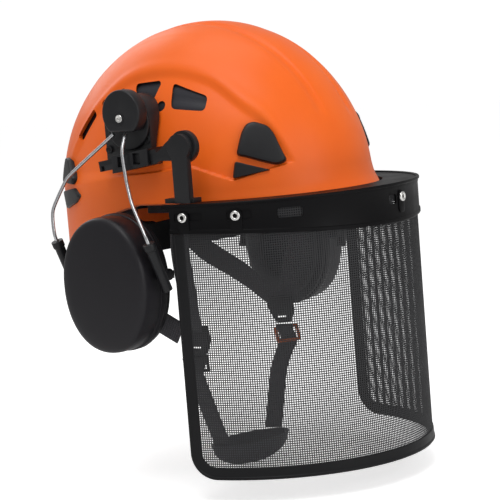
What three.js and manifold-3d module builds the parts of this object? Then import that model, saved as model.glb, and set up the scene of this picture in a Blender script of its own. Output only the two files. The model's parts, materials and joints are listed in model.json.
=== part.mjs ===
// Forestry helmet: a vented orange shell with its harness and chin strap, a hinged mesh visor on
// two slotted side rails, and two ear muffs on sprung steel wire arms.
// Millimetres. The front is -Y, the wearer's left is +X and up is +Z. The origin is the centre of
// the shell's plan, at the level of the visor brim's top face.

import * as THREE from 'three';
import { mergeVertices } from 'three/addons/utils/BufferGeometryUtils.js';
import Module from 'manifold-3d';

const wasm = await Module();
wasm.setup();

// ---------- driving dimensions ----------

const GAP = 0.4;

const SHELL = { halfWidth: 103.5, front: 135, rear: 140.5, height: 134, wall: 3, lipFlare: 6 };
const SHELL_GRID = { turns: 44, rises: 10, floor: -70 };
const RIM = { side: -3.5, frontLift: 1, rearSlope: 0.2, rearCurve: 0.0016, lowest: -47 };

const VISOR = {
  arcY: -33, halfWidth: 121.1, depth: 136, endDegrees: 85.8, lipEndDegrees: 88.2,
  lipTop: -0.7, sideDrop: 1.3, lipHeight: 2.6, lipInner: 0.6, lipOuter: 3.2,
  bandInner: 0.8, bandOuter: 2.2, bandBottom: -24.2, frontDeepening: 7,
  shelfDrop: 1.2, shelfThickness: 2, shelfGap: 2.5,
  meshTop: -6.6, bottom: -213.9, meshThickness: 0.8,
  trimTop: -24.7, trimWidth: 9.6, trimThickness: 3.2, cornerRadius: 20,
};
const VISOR_PIVOT = { y: -55.4, z: 40.6, railRadius: 12.3, stripRadius: 10.2 };
const RAIL = { inner: 110, outer: 115, height: 8, y: 3.5, z: 31, tilt: 8, front: -30, back: 28 };
const RAIL_NECK = [
  [-23.8, 39.4], [-26, 38], [-30, 37.2], [-34, 39.4], [-38.5, 43.4], [-46, 48.5],
  [-46, 30.5], [-38.5, 30.5], [-33, 30.8], [-29, 28.8], [-23.8, 28.2],
];
const STRIP = {
  inner: 115.4, outer: 121, front: -62.5, back: -48.5, bottom: -1.5,
  footInner: 108, footOuter: 118.4, footFront: -64, footBack: -37, footTop: 2,
};

const HUB = {
  y: 1.2, z: 64.3, baseRadius: 20.8, baseY: 3.2, baseZ: 59.7, baseInner: 104.4, baseOuter: 106.6,
  capRadius: 18.2, capY: -0.3, capZ: 68.1, capOuter: 118.5, chordZ: 54.2, screwRadius: 3.3, screwHole: 3.7,
};
const ADAPTER = {
  front: -23, back: 12.7, frontLow: 27.7, backLow: 22.3, height: 13, outer: 117.5,
  plateOuter: 104, plateFront: -17, plateBack: 28, plateRadius: 22.5, plateY: 5.5, plateZ: 59.6,
};

const WIRE = { radius: 1.4, bend: 2, straight: 4.5, depth: 24 };
const SLIDER = { length: 40, radius: 4, bore: 1.9, collar: 4.8, lean: 0.336, forward: 0.098 };
const CUP = {
  y: 14.5, z: -62.5, halfWidth: 42, halfHeight: 54, rim: 112, pivotX: 116, pivotZ: -56,
};
const CUSHION = { inner: 101, outer: 107, halfWidth: 37, halfHeight: 46 };

const BAND = { halfWidth: 81, halfLength: 101, power: 2.5, endDegrees: 150, halfHeight: 13, halfThickness: 1 };
const SWEATBAND = { endDegrees: 58, inner: -5.8, outer: -1.9, halfHeight: 12 };
const NAPE = {
  y: 98, z: -49, pinion: 3.6, shaft: 2.4, knobRadius: 15, knobFront: 10.5, knobBack: 21,
  travel: 12.6, rackHalfDepth: 2.2, rackLow: 4.2, rackHigh: 8.2,
  tabStart: 40.2, tabLength: 6, tabHalfDepth: 1.4,
};
const CROWN_PAD = { half: 18, thickness: 4.6, underside: 95 };
const STRAP = { width: 18, thickness: 1.6 };
const LOOP = { inner: 66.7, outer: 69.3, halfWidth: 12.4, halfHeight: 7, bar: 2.4, tilt: 8 };
const CHIN = { y: -12, rimZ: -211, depth: 20, halfWidth: 50, halfDepth: 20, wall: 2, tilt: 3.5 };

// ---------- materials ----------

function material(color, roughness, metalness = 0) {
  return new THREE.MeshStandardMaterial({ color, roughness, metalness });
}

const ORANGE = material('#f07432', 0.38);
const BUCKLE_ORANGE = material('#d65a20', 0.45);
const BLACK_PLASTIC = material('#232226', 0.5);
const CUP_PLASTIC = material('#2e2c31', 0.42);
const STEEL = material('#c6c6c8', 0.28, 1);
const MESH_NYLON = material('#3a393d', 0.6);
const RUBBER = material('#1c1b1e', 0.7);
const WEBBING = material('#302e33', 0.9);
const FOAM = material('#28272b', 0.95);
const SOFT_SKIN = material('#201f22', 0.65);

// ---------- geometry helpers ----------

const point = (x, y, z) => new THREE.Vector3(x, y, z);
const degrees = THREE.MathUtils.degToRad;

function signedVolume(geometry) {
  const flat = geometry.index ? geometry.toNonIndexed() : geometry;
  const positions = flat.attributes.position;
  const corners = [point(), point(), point()];
  let volume = 0;
  for (let i = 0; i < positions.count; i += 3) {
    corners.forEach((corner, k) => corner.fromBufferAttribute(positions, i + k));
    volume += corners[0].dot(corners[1].clone().cross(corners[2])) / 6;
  }
  return volume;
}

function faceOut(geometry) {
  if (signedVolume(geometry) < 0) {
    const index = geometry.index.array;
    for (let i = 0; i < index.length; i += 3) {
      [index[i], index[i + 1]] = [index[i + 1], index[i]];
    }
  }
  return geometry;
}

// Corner triangles of a flat ring of points, found in the ring's own plane.
function ringTriangles(ring) {
  const normal = point();
  ring.forEach((p, i) => normal.add(p.clone().cross(ring[(i + 1) % ring.length])));
  normal.normalize();
  const along = ring[1].clone().sub(ring[0]).normalize();
  const across = normal.clone().cross(along);
  const contour = ring.map((p) => new THREE.Vector2(p.dot(along), p.dot(across)));
  return THREE.ShapeUtils.triangulateShape(contour, []);
}

// A closed solid through a row of matching rings, capped at both ends.
function loft(rings) {
  const size = rings[0].length;
  const index = [];
  for (let j = 0; j + 1 < rings.length; j += 1) {
    for (let i = 0; i < size; i += 1) {
      const next = (i + 1) % size;
      const [a, b, c, d] = [j * size + i, j * size + next, (j + 1) * size + next, (j + 1) * size + i];
      index.push(a, b, c, a, c, d);
    }
  }
  const last = (rings.length - 1) * size;
  ringTriangles(rings[0]).forEach(([a, b, c]) => index.push(a, c, b));
  ringTriangles(rings[rings.length - 1]).forEach(([a, b, c]) => index.push(last + a, last + b, last + c));
  const geometry = new THREE.BufferGeometry();
  geometry.setAttribute('position', new THREE.Float32BufferAttribute(rings.flat().flatMap((p) => [...p]), 3));
  geometry.setIndex(index);
  return faceOut(geometry);
}

function toSolid(geometry) {
  const bare = geometry.clone();
  Object.keys(bare.attributes).filter((key) => key !== 'position').forEach((key) => bare.deleteAttribute(key));
  const merged = mergeVertices(bare, 1e-4);
  return new wasm.Manifold(new wasm.Mesh({
    numProp: 3,
    vertProperties: new Float32Array(merged.attributes.position.array),
    triVerts: new Uint32Array(merged.index.array),
  }));
}

function fromSolid(solid) {
  const mesh = solid.getMesh();
  const geometry = new THREE.BufferGeometry();
  geometry.setAttribute('position', new THREE.BufferAttribute(mesh.vertProperties, 3));
  geometry.setIndex(new THREE.BufferAttribute(mesh.triVerts, 1));
  return geometry;
}

function join(...geometries) {
  return fromSolid(geometries.map(toSolid).reduce((whole, solid) => whole.add(solid)));
}

function cut(geometry, ...tools) {
  return fromSolid(tools.map(toSolid).reduce((left, tool) => left.subtract(tool), toSolid(geometry)));
}

function overlap(first, second) {
  return fromSolid(toSolid(first).intersect(toSolid(second)));
}

function block(xs, ys, zs) {
  const geometry = new THREE.BoxGeometry(xs[1] - xs[0], ys[1] - ys[0], zs[1] - zs[0]);
  return geometry.translate((xs[0] + xs[1]) / 2, (ys[0] + ys[1]) / 2, (zs[0] + zs[1]) / 2);
}

// Turns a shape drawn in (y, z) into a plate between two x values.
const SIDEWAYS = new THREE.Matrix4().makeBasis(point(0, 1, 0), point(0, 0, 1), point(1, 0, 0));

function plate(shape, fromX, toX, curveSegments = 12) {
  const options = { depth: toX - fromX, bevelEnabled: false, curveSegments };
  const geometry = new THREE.ExtrudeGeometry(shape, options);
  return geometry.applyMatrix4(SIDEWAYS).translate(fromX, 0, 0);
}

function outline(corners) {
  return new THREE.Shape(corners.map(([y, z]) => new THREE.Vector2(y, z)));
}

// A disc or drum about an axis along X.
function drum(radius, fromX, toX, y, z, segments = 32) {
  const geometry = new THREE.CylinderGeometry(radius, radius, toX - fromX, segments);
  return geometry.rotateZ(Math.PI / 2).translate((fromX + toX) / 2, y, z);
}

// A drum about an axis along Y.
function drumAlongY(radius, fromY, toY, x, z, segments = 24) {
  const geometry = new THREE.CylinderGeometry(radius, radius, toY - fromY, segments);
  return geometry.translate(x, (fromY + toY) / 2, z);
}

function turned(profile, segments = 32) {
  return faceOut(new THREE.LatheGeometry(profile.map(([r, h]) => new THREE.Vector2(r, h)), segments));
}

// A flat strap: a rectangular section carried along a smooth line through hand-placed points.
function ribbon(points, width, thickness, widthDirection, steps = 14) {
  const line = new THREE.CatmullRomCurve3(points);
  const rings = [];
  for (let i = 0; i <= steps; i += 1) {
    const centre = line.getPointAt(i / steps);
    const along = line.getTangentAt(i / steps);
    const face = along.clone().cross(widthDirection).normalize();
    const across = face.clone().cross(along).normalize();
    rings.push([[-1, -1], [1, -1], [1, 1], [-1, 1]].map(([w, t]) => centre.clone()
      .addScaledVector(across, (w * width) / 2)
      .addScaledVector(face, (t * thickness) / 2)));
  }
  return loft(rings);
}

// ---------- the shell's own shape ----------

// The shell is a half ellipsoid, longer behind than in front, on a straight wall. Its front lip
// flares forward.
function domeRing(z, grow) {
  const level = Math.max(z, 0) / (SHELL.height + grow);
  const narrowing = Math.sqrt(1 - level * level);
  const flare = z <= 0 ? SHELL.lipFlare : 0;
  const ring = [];
  for (let i = 0; i < SHELL_GRID.turns; i += 1) {
    const turn = (2 * Math.PI * i) / SHELL_GRID.turns;
    const forward = Math.cos(turn);
    const reach = forward > 0 ? SHELL.front + flare * forward ** 4 : SHELL.rear;
    ring.push(point(
      (SHELL.halfWidth + grow) * narrowing * Math.sin(turn),
      -(reach + grow) * narrowing * forward,
      z,
    ));
  }
  return ring;
}

function dome(grow, floor = SHELL_GRID.floor) {
  const rings = [domeRing(floor, grow)];
  for (let i = 0; i < SHELL_GRID.rises; i += 1) {
    const rise = degrees((87 * i) / (SHELL_GRID.rises - 1));
    rings.push(domeRing((SHELL.height + grow) * Math.sin(rise), grow));
  }
  return loft(rings);
}

function rimHeight(y) {
  if (y < 0) {
    return RIM.side + RIM.frontLift * (y / SHELL.front) ** 2;
  }
  return Math.max(RIM.side - RIM.rearSlope * y - RIM.rearCurve * y * y, RIM.lowest);
}

function belowRim() {
  const corners = [[160, -100], [-160, -100]];
  for (let y = -160; y <= 160; y += 8) {
    corners.push([y, rimHeight(y)]);
  }
  return plate(outline(corners), -125, 125);
}

// A piece that follows the shell's skin, between two distances out from it.
function onSkin(corners, from, to) {
  return cut(overlap(plate(outline(corners), 20, 125), dome(to)), dome(from));
}

const VENTS = [
  [[-21, 87.5], [-53.5, 77], [-54.5, 65], [-26, 68.5]],
  [[16, 88.5], [-10.5, 90], [-9, 74.5], [10, 80.5]],
  [[48, 77], [24, 87], [27, 74], [42, 64]],
  [[57, 72], [75.5, 49.5], [69, 45.5], [52, 64]],
];
const ROUND_VENT = { y: -16.2, z: 71, radius: 3.6 };
const VENT_PANEL = [
  [-62, 60], [-60, 82], [-22, 95], [26, 94], [58, 78], [80, 46], [66, 39], [46, 52], [20, 66], [-24, 62],
];

function helmetShell() {
  const cutters = [];
  for (const [from, to] of [[40, 125], [-125, -40]]) {
    cutters.push(...VENTS.map((corners) => plate(outline(corners), from, to)));
    cutters.push(drum(ROUND_VENT.radius, from, to, ROUND_VENT.y, ROUND_VENT.z, 12));
  }
  return cut(dome(0), dome(-SHELL.wall, SHELL_GRID.floor - 10), belowRim(), ...cutters);
}

// Accessory clips: a thin foot on the skin with two raised pieces.
const FRONT_CLIP = {
  foot: [[-80, 12], [-80, 33], [-85, 51], [-92, 55], [-102.5, 48], [-114, 22], [-103, 15]],
  raised: [[-82, 33], [-86, 50], [-92, 54], [-102, 47.5], [-113, 23], [-97, 26]],
  lower: [[-81, 27], [-82, 13.5], [-102, 16]],
};
const REAR_CLIP = {
  foot: [[92, 34], [79, 33], [74, -6], [88, -14], [98, 4]],
  raised: [[91, 33], [80, 32], [77, 12], [94, 12]],
  lower: [[77, 8], [75.5, -5], [88, -13], [96, 5]],
};

function skinClip({ foot, raised, lower }) {
  return join(onSkin(foot, GAP, 1.6), onSkin(raised, GAP + 0.2, 5), onSkin(lower, GAP + 0.2, 4));
}

// ---------- visor ----------

function visorPoint(angle, offset, z) {
  const base = point(VISOR.halfWidth * Math.sin(angle), VISOR.arcY - VISOR.depth * Math.cos(angle), z);
  return base.addScaledVector(visorNormal(angle), offset);
}

function visorNormal(angle) {
  return point(VISOR.depth * Math.sin(angle), -VISOR.halfWidth * Math.cos(angle), 0).normalize();
}

// How far the shelf reaches in from the visor's face before it meets the shell's clearance line.
function shelfReach(angle) {
  const start = visorPoint(angle, 0, 0);
  const normal = visorNormal(angle);
  const [a, b] = [SHELL.halfWidth + VISOR.shelfGap, SHELL.front + SHELL.lipFlare + VISOR.shelfGap];
  const along = (normal.x / a) ** 2 + (normal.y / b) ** 2;
  const mixed = (start.x * normal.x) / (a * a) + (start.y * normal.y) / (b * b);
  const rest = (start.x / a) ** 2 + (start.y / b) ** 2 - 1;
  return (mixed - Math.sqrt(mixed * mixed - along * rest)) / along;
}

function sweepVisor(steps, endDegrees, section) {
  const rings = [];
  for (let i = 0; i <= steps; i += 1) {
    const angle = degrees(endDegrees * ((2 * i) / steps - 1));
    rings.push(section(angle).map(([offset, z]) => visorPoint(angle, offset, z)));
  }
  return loft(rings);
}

function lipTop(angle) {
  return VISOR.lipTop - VISOR.sideDrop * Math.sin(angle) ** 2;
}

// A face band with a shelf behind it, under a lip that runs a little past its ends.
function visorBrim() {
  const { bandInner, bandOuter, lipInner, lipOuter, lipHeight, shelfDrop, shelfThickness } = VISOR;
  const band = sweepVisor(36, VISOR.endDegrees, (angle) => {
    const bottom = VISOR.bandBottom - VISOR.frontDeepening * Math.cos(angle) ** 2;
    const shelf = lipTop(angle) - shelfDrop;
    const reach = shelfReach(angle);
    return [
      [bandInner, bottom], [bandOuter, bottom], [bandOuter, shelf], [-reach, shelf],
      [-reach, shelf - shelfThickness], [bandInner, shelf - shelfThickness],
    ];
  });
  const lip = sweepVisor(36, VISOR.lipEndDegrees, (angle) => {
    const [top, low] = [lipTop(angle), lipTop(angle) - lipHeight];
    return [[lipInner, low], [lipOuter, low], [lipOuter, top], [lipInner, top]];
  });
  return join(band, lip);
}

function arcMillimetres(angle) {
  return (VISOR.depth * Math.cos(angle) ** 2 + VISOR.halfWidth * Math.sin(angle) ** 2 + VISOR.halfWidth) / 2;
}

function trimInnerDegrees() {
  return VISOR.endDegrees - THREE.MathUtils.radToDeg((VISOR.trimWidth + GAP) / arcMillimetres(Math.PI / 2));
}

function visorMesh() {
  const half = VISOR.meshThickness / 2;
  const end = trimInnerDegrees();
  const inner = VISOR.cornerRadius - VISOR.trimWidth + 1;
  return sweepVisor(44, end, (angle) => {
    const fromEdge = (degrees(end) - Math.abs(angle)) * VISOR.halfWidth;
    const turn = Math.max(inner - fromEdge, 0);
    const low = VISOR.bottom + VISOR.trimWidth + GAP + inner - Math.sqrt(inner * inner - turn * turn);
    return [[-half, low], [half, low], [half, VISOR.meshTop], [-half, VISOR.meshTop]];
  });
}

// The U-shaped edging: down one side, round a corner, along the bottom and up the other side.
function visorTrim() {
  const half = VISOR.trimWidth / 2;
  const middle = VISOR.cornerRadius - half;
  const lowZ = VISOR.bottom + half;
  const perMillimetre = 1 / VISOR.halfWidth;
  const sideAngle = degrees(VISOR.endDegrees) - half * perMillimetre;
  const route = [];
  route.push([sideAngle, VISOR.trimTop], [sideAngle, -80], [sideAngle, -140]);
  for (let i = 0; i <= 6; i += 1) {
    const turn = (Math.PI / 2) * (i / 6);
    route.push([
      sideAngle - middle * (1 - Math.cos(turn)) * perMillimetre,
      lowZ + middle * (1 - Math.sin(turn)),
    ]);
  }
  const bottomEnd = sideAngle - middle * perMillimetre;
  for (let i = 1; i <= 20; i += 1) {
    route.push([bottomEnd * (1 - i / 20), lowZ]);
  }
  const mirrored = route.slice(0, -1).reverse().map(([angle, z]) => [-angle, z]);
  const whole = [...route, ...mirrored];
  const rings = whole.map(([angle, z], i) => {
    const before = visorPoint(whole[Math.max(i - 1, 0)][0], 0, whole[Math.max(i - 1, 0)][1]);
    const afterIndex = Math.min(i + 1, whole.length - 1);
    const after = visorPoint(whole[afterIndex][0], 0, whole[afterIndex][1]);
    const along = after.sub(before).normalize();
    const normal = visorNormal(angle);
    const across = along.clone().cross(normal).normalize();
    const centre = visorPoint(angle, 0, z);
    return [[-1, -1], [1, -1], [1, 1], [-1, 1]].map(([w, t]) => centre.clone()
      .addScaledVector(across, w * half)
      .addScaledVector(normal, (t * VISOR.trimThickness) / 2));
  });
  return loft(rings);
}

// A point given along the tilted rail and up across it.
function onRail(along, up) {
  const tilt = degrees(RAIL.tilt);
  return [
    RAIL.y + along * Math.cos(tilt) + up * Math.sin(tilt),
    RAIL.z - along * Math.sin(tilt) + up * Math.cos(tilt),
  ];
}

// A bar along the rail's line, between two places given by their distance from the rail's centre.
function railBar(fromX, toX, start, end, low, high) {
  const corners = [onRail(start, low), onRail(end, low), onRail(end, high), onRail(start, high)];
  return plate(outline(corners), fromX, toX);
}

function visorRail() {
  const { y, z, railRadius } = VISOR_PIVOT;
  const { inner, outer, height, back } = RAIL;
  const [start, end, half] = [RAIL.front - RAIL.y, back - RAIL.y, height / 2];
  const bar = railBar(inner, outer, start, end, -half, half);
  const notch = railBar(inner + 2.5, outer + 1, end - 5, end - 2, -half - 1, half - 4);
  return cut(join(bar, plate(outline(RAIL_NECK), inner, outer), drum(railRadius, inner, outer, y, z)), notch);
}

function visorStrip() {
  const { y, z, stripRadius } = VISOR_PIVOT;
  const { inner, outer, front, back, bottom, footInner, footOuter, footFront, footBack, footTop } = STRIP;
  const strap = block([inner, outer], [front, back], [bottom, z]);
  const foot = block([footInner, footOuter], [footFront, footBack], [bottom, footTop]);
  return join(strap, foot, drum(stripRadius, inner, outer, y, z));
}

// ---------- muff arm and cup ----------

// The block that holds the rail, with a round-topped plate on the shell that carries the muff hub.
function adapter() {
  const { front, back, frontLow, backLow, height, outer } = ADAPTER;
  const { plateOuter, plateFront, plateBack, plateRadius, plateY, plateZ } = ADAPTER;
  const corners = [[front, frontLow], [back, backLow], [back, backLow + height], [front, frontLow + height]];
  const body = plate(outline(corners), 92, outer);
  const tombstone = join(
    drum(plateRadius, 70, plateOuter, plateY, plateZ, 40),
    block([70, plateOuter], [plateFront, plateBack], [backLow + 6, plateZ]),
  );
  const half = RAIL.height / 2 + GAP;
  const railSlot = railBar(RAIL.inner - 0.6, RAIL.outer + 0.6, -60, 60, -half, half);
  const windows = [[[-15.4, -8.4], [28.8, 37.4]], [[0, 7], [27, 35]]];
  const openings = windows.map(([ys, zs]) => block([RAIL.outer, outer + 1], ys, zs));
  return cut(join(body, tombstone), dome(GAP), railSlot, ...openings);
}

function hubBase() {
  const { baseRadius, baseInner, baseOuter, baseY, baseZ } = HUB;
  return drum(baseRadius, baseInner, baseOuter, baseY, baseZ, 40);
}

// A round cap cut off flat below, where the wires come out.
function hubCap() {
  const { y, z, capRadius, capY, capZ, chordZ, capOuter, baseOuter } = HUB;
  const rounding = 1;
  const radius = capRadius - rounding;
  const half = Math.asin((capZ - chordZ - rounding) / radius);
  const shape = new THREE.Shape();
  shape.absarc(0, 0, radius, -half, Math.PI + half, false);
  const options = {
    depth: capOuter - baseOuter - GAP - 2 * rounding, bevelThickness: rounding, bevelSize: rounding,
    bevelSegments: 1, curveSegments: 16,
  };
  const drumShape = new THREE.ExtrudeGeometry(shape, options).applyMatrix4(SIDEWAYS);
  drumShape.translate(baseOuter + GAP + rounding, capY, capZ);
  return cut(drumShape, drum(HUB.screwHole, baseOuter - 1, capOuter + 1, y, z, 16));
}

function hubScrew() {
  const { y, z, baseOuter, capOuter, screwRadius } = HUB;
  const start = baseOuter + GAP;
  const shank = drum(2, start, capOuter - 3, y, z, 16);
  const head = drum(screwRadius, capOuter - 3.5, capOuter + 0.4, y, z, 20);
  const socket = drum(1.4, capOuter - 1.2, capOuter + 1, y, z, 6);
  return cut(join(shank, head), socket);
}

const downTube = point(-SLIDER.lean, -SLIDER.forward, -Math.sqrt(1 - SLIDER.lean ** 2 - SLIDER.forward ** 2));

// Each wire's corners from the hub down, and the top of the end piece it runs into.
const ARMS = {
  front: {
    corners: [
      point(112.5, 0.6, 52.4), point(120.6, -1, 40), point(122, -3.9, 17.6), point(127, -11.6, -0.4),
    ],
    tubeTop: point(136, -31.8, -29.9),
    boss: [-34, -28.2],
  },
  rear: {
    corners: [
      point(112.5, 12.5, 52.2), point(120, 57.9, 19.8), point(126.5, 69.5, -3.5), point(127.5, 70, -10.3),
    ],
    tubeTop: point(128, 67.2, -28.6),
    boss: [57, 61.6],
  },
};

// Straight runs between corners, each corner eased over a short length on both sides.
function bentLine(corners, bend) {
  const line = [corners[0]];
  for (let i = 1; i + 1 < corners.length; i += 1) {
    const before = corners[i - 1].clone().sub(corners[i]).normalize();
    const after = corners[i + 1].clone().sub(corners[i]).normalize();
    line.push(corners[i].clone().addScaledVector(before, bend));
    line.push(corners[i].clone().addScaledVector(after, bend));
  }
  line.push(corners[corners.length - 1]);
  return line;
}

function armWire({ corners, tubeTop }) {
  const { radius, bend, straight, depth } = WIRE;
  const inTube = [-straight, depth].map((distance) => tubeTop.clone().addScaledVector(downTube, distance));
  const line = new THREE.CatmullRomCurve3(bentLine([...corners, ...inTube], bend));
  const round = new THREE.Shape();
  round.absarc(0, 0, radius, 0, 2 * Math.PI, false);
  return new THREE.ExtrudeGeometry(round, { steps: 36, extrudePath: line, curveSegments: 4 });
}

// The bored end piece on a wire, with an arm and a boss that carry the cup's pivot.
function slider({ tubeTop, boss }) {
  const { length, radius, bore, collar } = SLIDER;
  const tube = turned([
    [0, 0], [radius, 0], [radius, length - 6], [collar, length - 5], [collar, length],
    [bore, length], [bore, 2], [0, 2],
  ], 16);
  const upward = downTube.clone().negate();
  tube.applyQuaternion(new THREE.Quaternion().setFromUnitVectors(point(0, 1, 0), upward));
  const foot = tubeTop.clone().addScaledVector(downTube, length);
  tube.translate(foot.x, foot.y, foot.z);
  const crossing = tubeTop.clone().addScaledVector(downTube, (CUP.pivotZ - tubeTop.z) / downTube.z);
  const arm = block(
    [CUP.pivotX - 2, crossing.x - 3.2], [crossing.y - 2, crossing.y + 2], [CUP.pivotZ - 3, CUP.pivotZ + 3],
  );
  return join(tube, arm, drumAlongY(4.6, ...boss, CUP.pivotX, CUP.pivotZ, 12));
}

// A turned profile stood on its side about X and stretched to the cup's outline.
function cupRound(profile, startX, halfWidth, halfHeight, segments) {
  const shape = turned(profile.map(([r, h]) => [r * halfWidth, h]), segments);
  shape.rotateZ(-Math.PI / 2);
  shape.scale(1, 1, halfHeight / halfWidth);
  return shape.translate(startX, CUP.y, CUP.z);
}

function earCup() {
  return cupRound([
    [0, 30.7], [0.35, 30.5], [0.7, 29.8], [0.88, 28.3], [0.95, 25.6], [0.975, 21], [0.985, 12], [1, 7], [1, 0],
    [0.94, 0], [0.93, 8], [0.92, 18], [0.88, 23.5], [0.78, 26.6], [0.5, 27.8], [0, 28.2],
  ], CUP.rim, CUP.halfWidth, CUP.halfHeight, 32);
}

function cupRing() {
  return cupRound([
    [0.76, 0], [0.94, 0], [0.97, 1], [0.97, 4.2], [0.76, 4.2], [0.76, 0],
  ], CUP.rim - GAP - 4.2, CUP.halfWidth, CUP.halfHeight, 28);
}

function earCushion() {
  const depth = CUSHION.outer - CUSHION.inner;
  return cupRound([
    [0.56, 1.6], [0.64, 0.2], [0.76, 0], [0.9, 0.4], [0.99, 1.8], [1, depth - 1], [0.97, depth],
    [0.56, depth], [0.56, 1.6],
  ], CUSHION.inner, CUSHION.halfWidth, CUSHION.halfHeight, 28);
}

function earFoam() {
  return cupRound([[0, 0], [0.84, 0], [0.84, 5], [0, 5]], CUP.rim + 1, CUP.halfWidth, CUP.halfHeight, 20);
}

// ---------- harness ----------

function bandPoint(angle, offset, z) {
  const { halfWidth, halfLength, power } = BAND;
  const [s, c] = [Math.sin(angle), Math.cos(angle)];
  const size = (Math.abs(s) ** power + Math.abs(c) ** power) ** (-1 / power);
  const base = point((halfWidth + offset) * s * size, -(halfLength + offset) * c * size, z);
  return base;
}

function bandHeight(angle) {
  return -14 - 17 * (1 - Math.cos(angle));
}

function bandSweep(endDegrees, inner, outer, halfHeight, steps) {
  const rings = [];
  for (let i = 0; i <= steps; i += 1) {
    const angle = degrees(endDegrees * ((2 * i) / steps - 1));
    const middle = bandHeight(angle);
    const half = halfHeight - 3 * (Math.abs(angle) / Math.PI);
    rings.push([[inner, -half], [outer, -half], [outer, half], [inner, half]]
      .map(([offset, rise]) => bandPoint(angle, offset, middle + rise)));
  }
  return loft(rings);
}

function sweatband() {
  const { endDegrees, inner, outer, halfHeight } = SWEATBAND;
  return bandSweep(endDegrees, inner, outer, halfHeight, 20);
}

function napeHousing() {
  const { y, z } = NAPE;
  const body = new THREE.Shape();
  const corner = 9;
  const [halfWidth, halfHeight] = [32, 17];
  body.moveTo(-halfWidth + corner, -halfHeight);
  body.lineTo(halfWidth - corner, -halfHeight);
  body.absarc(halfWidth - corner, -halfHeight + corner, corner, -Math.PI / 2, 0, false);
  body.absarc(halfWidth - corner, halfHeight - corner, corner, 0, Math.PI / 2, false);
  body.absarc(-halfWidth + corner, halfHeight - corner, corner, Math.PI / 2, Math.PI, false);
  body.absarc(-halfWidth + corner, -halfHeight + corner, corner, Math.PI, 1.5 * Math.PI, false);
  const casing = new THREE.ExtrudeGeometry(body, { depth: 16, bevelEnabled: false, curveSegments: 5 });
  casing.rotateX(Math.PI / 2).translate(0, y + 10, z);
  const channel = block([-40, 40], [y - 2.8, y + 2.8], [z - 8.8, z + 8.8]);
  const shaftBore = drumAlongY(3.2, y, y + 20, 0, z, 20);
  return cut(casing, channel, shaftBore);
}

function ratchetKnob() {
  const { y, z, pinion, shaft, knobRadius, knobFront, knobBack, rackHalfDepth } = NAPE;
  const knob = drumAlongY(knobRadius, y + knobFront, y + knobBack, 0, z, 24);
  const spindle = drumAlongY(shaft, y - 1, y + knobFront + 1, 0, z, 16);
  const gear = drumAlongY(pinion, y - rackHalfDepth, y + rackHalfDepth, 0, z, 16);
  return join(knob, spindle, gear);
}

// The upper rack comes from the wearer's right and the lower one from the left.
function napeRack(side) {
  const { y, z, travel, rackHalfDepth, rackLow, rackHigh, tabStart, tabLength, tabHalfDepth } = NAPE;
  const level = side < 0 ? [z + rackLow, z + rackHigh] : [z - rackHigh, z - rackLow];
  const tabEnd = tabStart + tabLength;
  const bar = block([-travel - 1, tabEnd], [y - rackHalfDepth, y + rackHalfDepth], level);
  const tab = block([tabStart, tabEnd], [y - tabHalfDepth, y + tabHalfDepth], [z - rackHigh, z + rackHigh]);
  return join(bar, tab);
}

function crownPad() {
  const { half, thickness, underside } = CROWN_PAD;
  const clipped = [
    [-1, -0.6], [-0.6, -1], [0.6, -1], [1, -0.6], [1, 0.6], [0.6, 1], [-0.6, 1], [-1, 0.6],
  ];
  const shape = new THREE.Shape(clipped.map(([x, y]) => new THREE.Vector2(x * half, y * half)));
  const options = { depth: thickness, bevelEnabled: false };
  return new THREE.ExtrudeGeometry(shape, options).translate(0, 0, underside);
}

const CROWN_LONG = [
  point(0, -97, 1), point(0, -92, 40), point(0, -68, 78), point(0, -32, 99), point(0, 0, 103),
  point(0, 32, 99), point(0, 68, 78), point(0, 92, 40), point(0, 97, 0), point(0, 97, -31),
];
const CROWN_CROSS = [
  point(-80.6, 0, -13), point(-78, 0, 20), point(-62, 0, 68), point(-32, 0, 98), point(0, 0, 105.8),
  point(32, 0, 98), point(62, 0, 68), point(78, 0, 20), point(80.6, 0, -13),
];

// Each side's straps hang a little differently, as they do on an empty helmet. The x values are
// distances out from the middle plane.
const STRAPS = {
  L: {
    front: [point(92, -30, -4), point(86, -22, -42), point(77, -12, -80), point(72.9, -7, -108)],
    rear: [point(62, 90, -46), point(74, 72, -66), point(78, 42, -84), point(76.4, 4, -108)],
    divider: { y: -4, z: -115 },
    loop: { y: -9.5, z: -135.5 },
    lower: [
      point(64.6, -9, -126.6), point(64.8, -9.2, -130.5), point(68, -9.2, -135.5), point(71.3, -8, -141),
      point(70, -5, -148), point(61.5, -2.4, -165), point(51, -4, -190), point(41.5, -6, -212),
    ],
  },
  R: {
    front: [point(92, -30, -4), point(86, -22, -42), point(77, -18.5, -80), point(72.9, -17.5, -108)],
    rear: [point(62, 90, -46), point(74, 72, -66), point(78, 38, -86), point(76.4, -8, -110)],
    divider: { y: -17.5, z: -116 },
    loop: { y: -14.5, z: -136 },
    lower: [
      point(64.6, -15.6, -127.4), point(64.8, -15.2, -131.2), point(68, -14.8, -136), point(71, -14.6, -141.4),
      point(69, -14.6, -147), point(61, -14.4, -165), point(50, -14.2, -190), point(40.5, -13.5, -208),
    ],
  },
};

function strapDivider({ y, z }) {
  const corners = [
    [y - 11, z + 11.4], [y + 9, z + 11.4], [y + 13, z + 3], [y + 5, z - 10.6], [y - 9, z - 10.6], [y - 13, z],
  ];
  const body = plate(outline(corners), 66.5, 71.5);
  const hollow = block([60, 80], [y - 6, y + 5], [z - 7.4, z - 4.6]);
  return cut(body, hollow);
}

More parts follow.
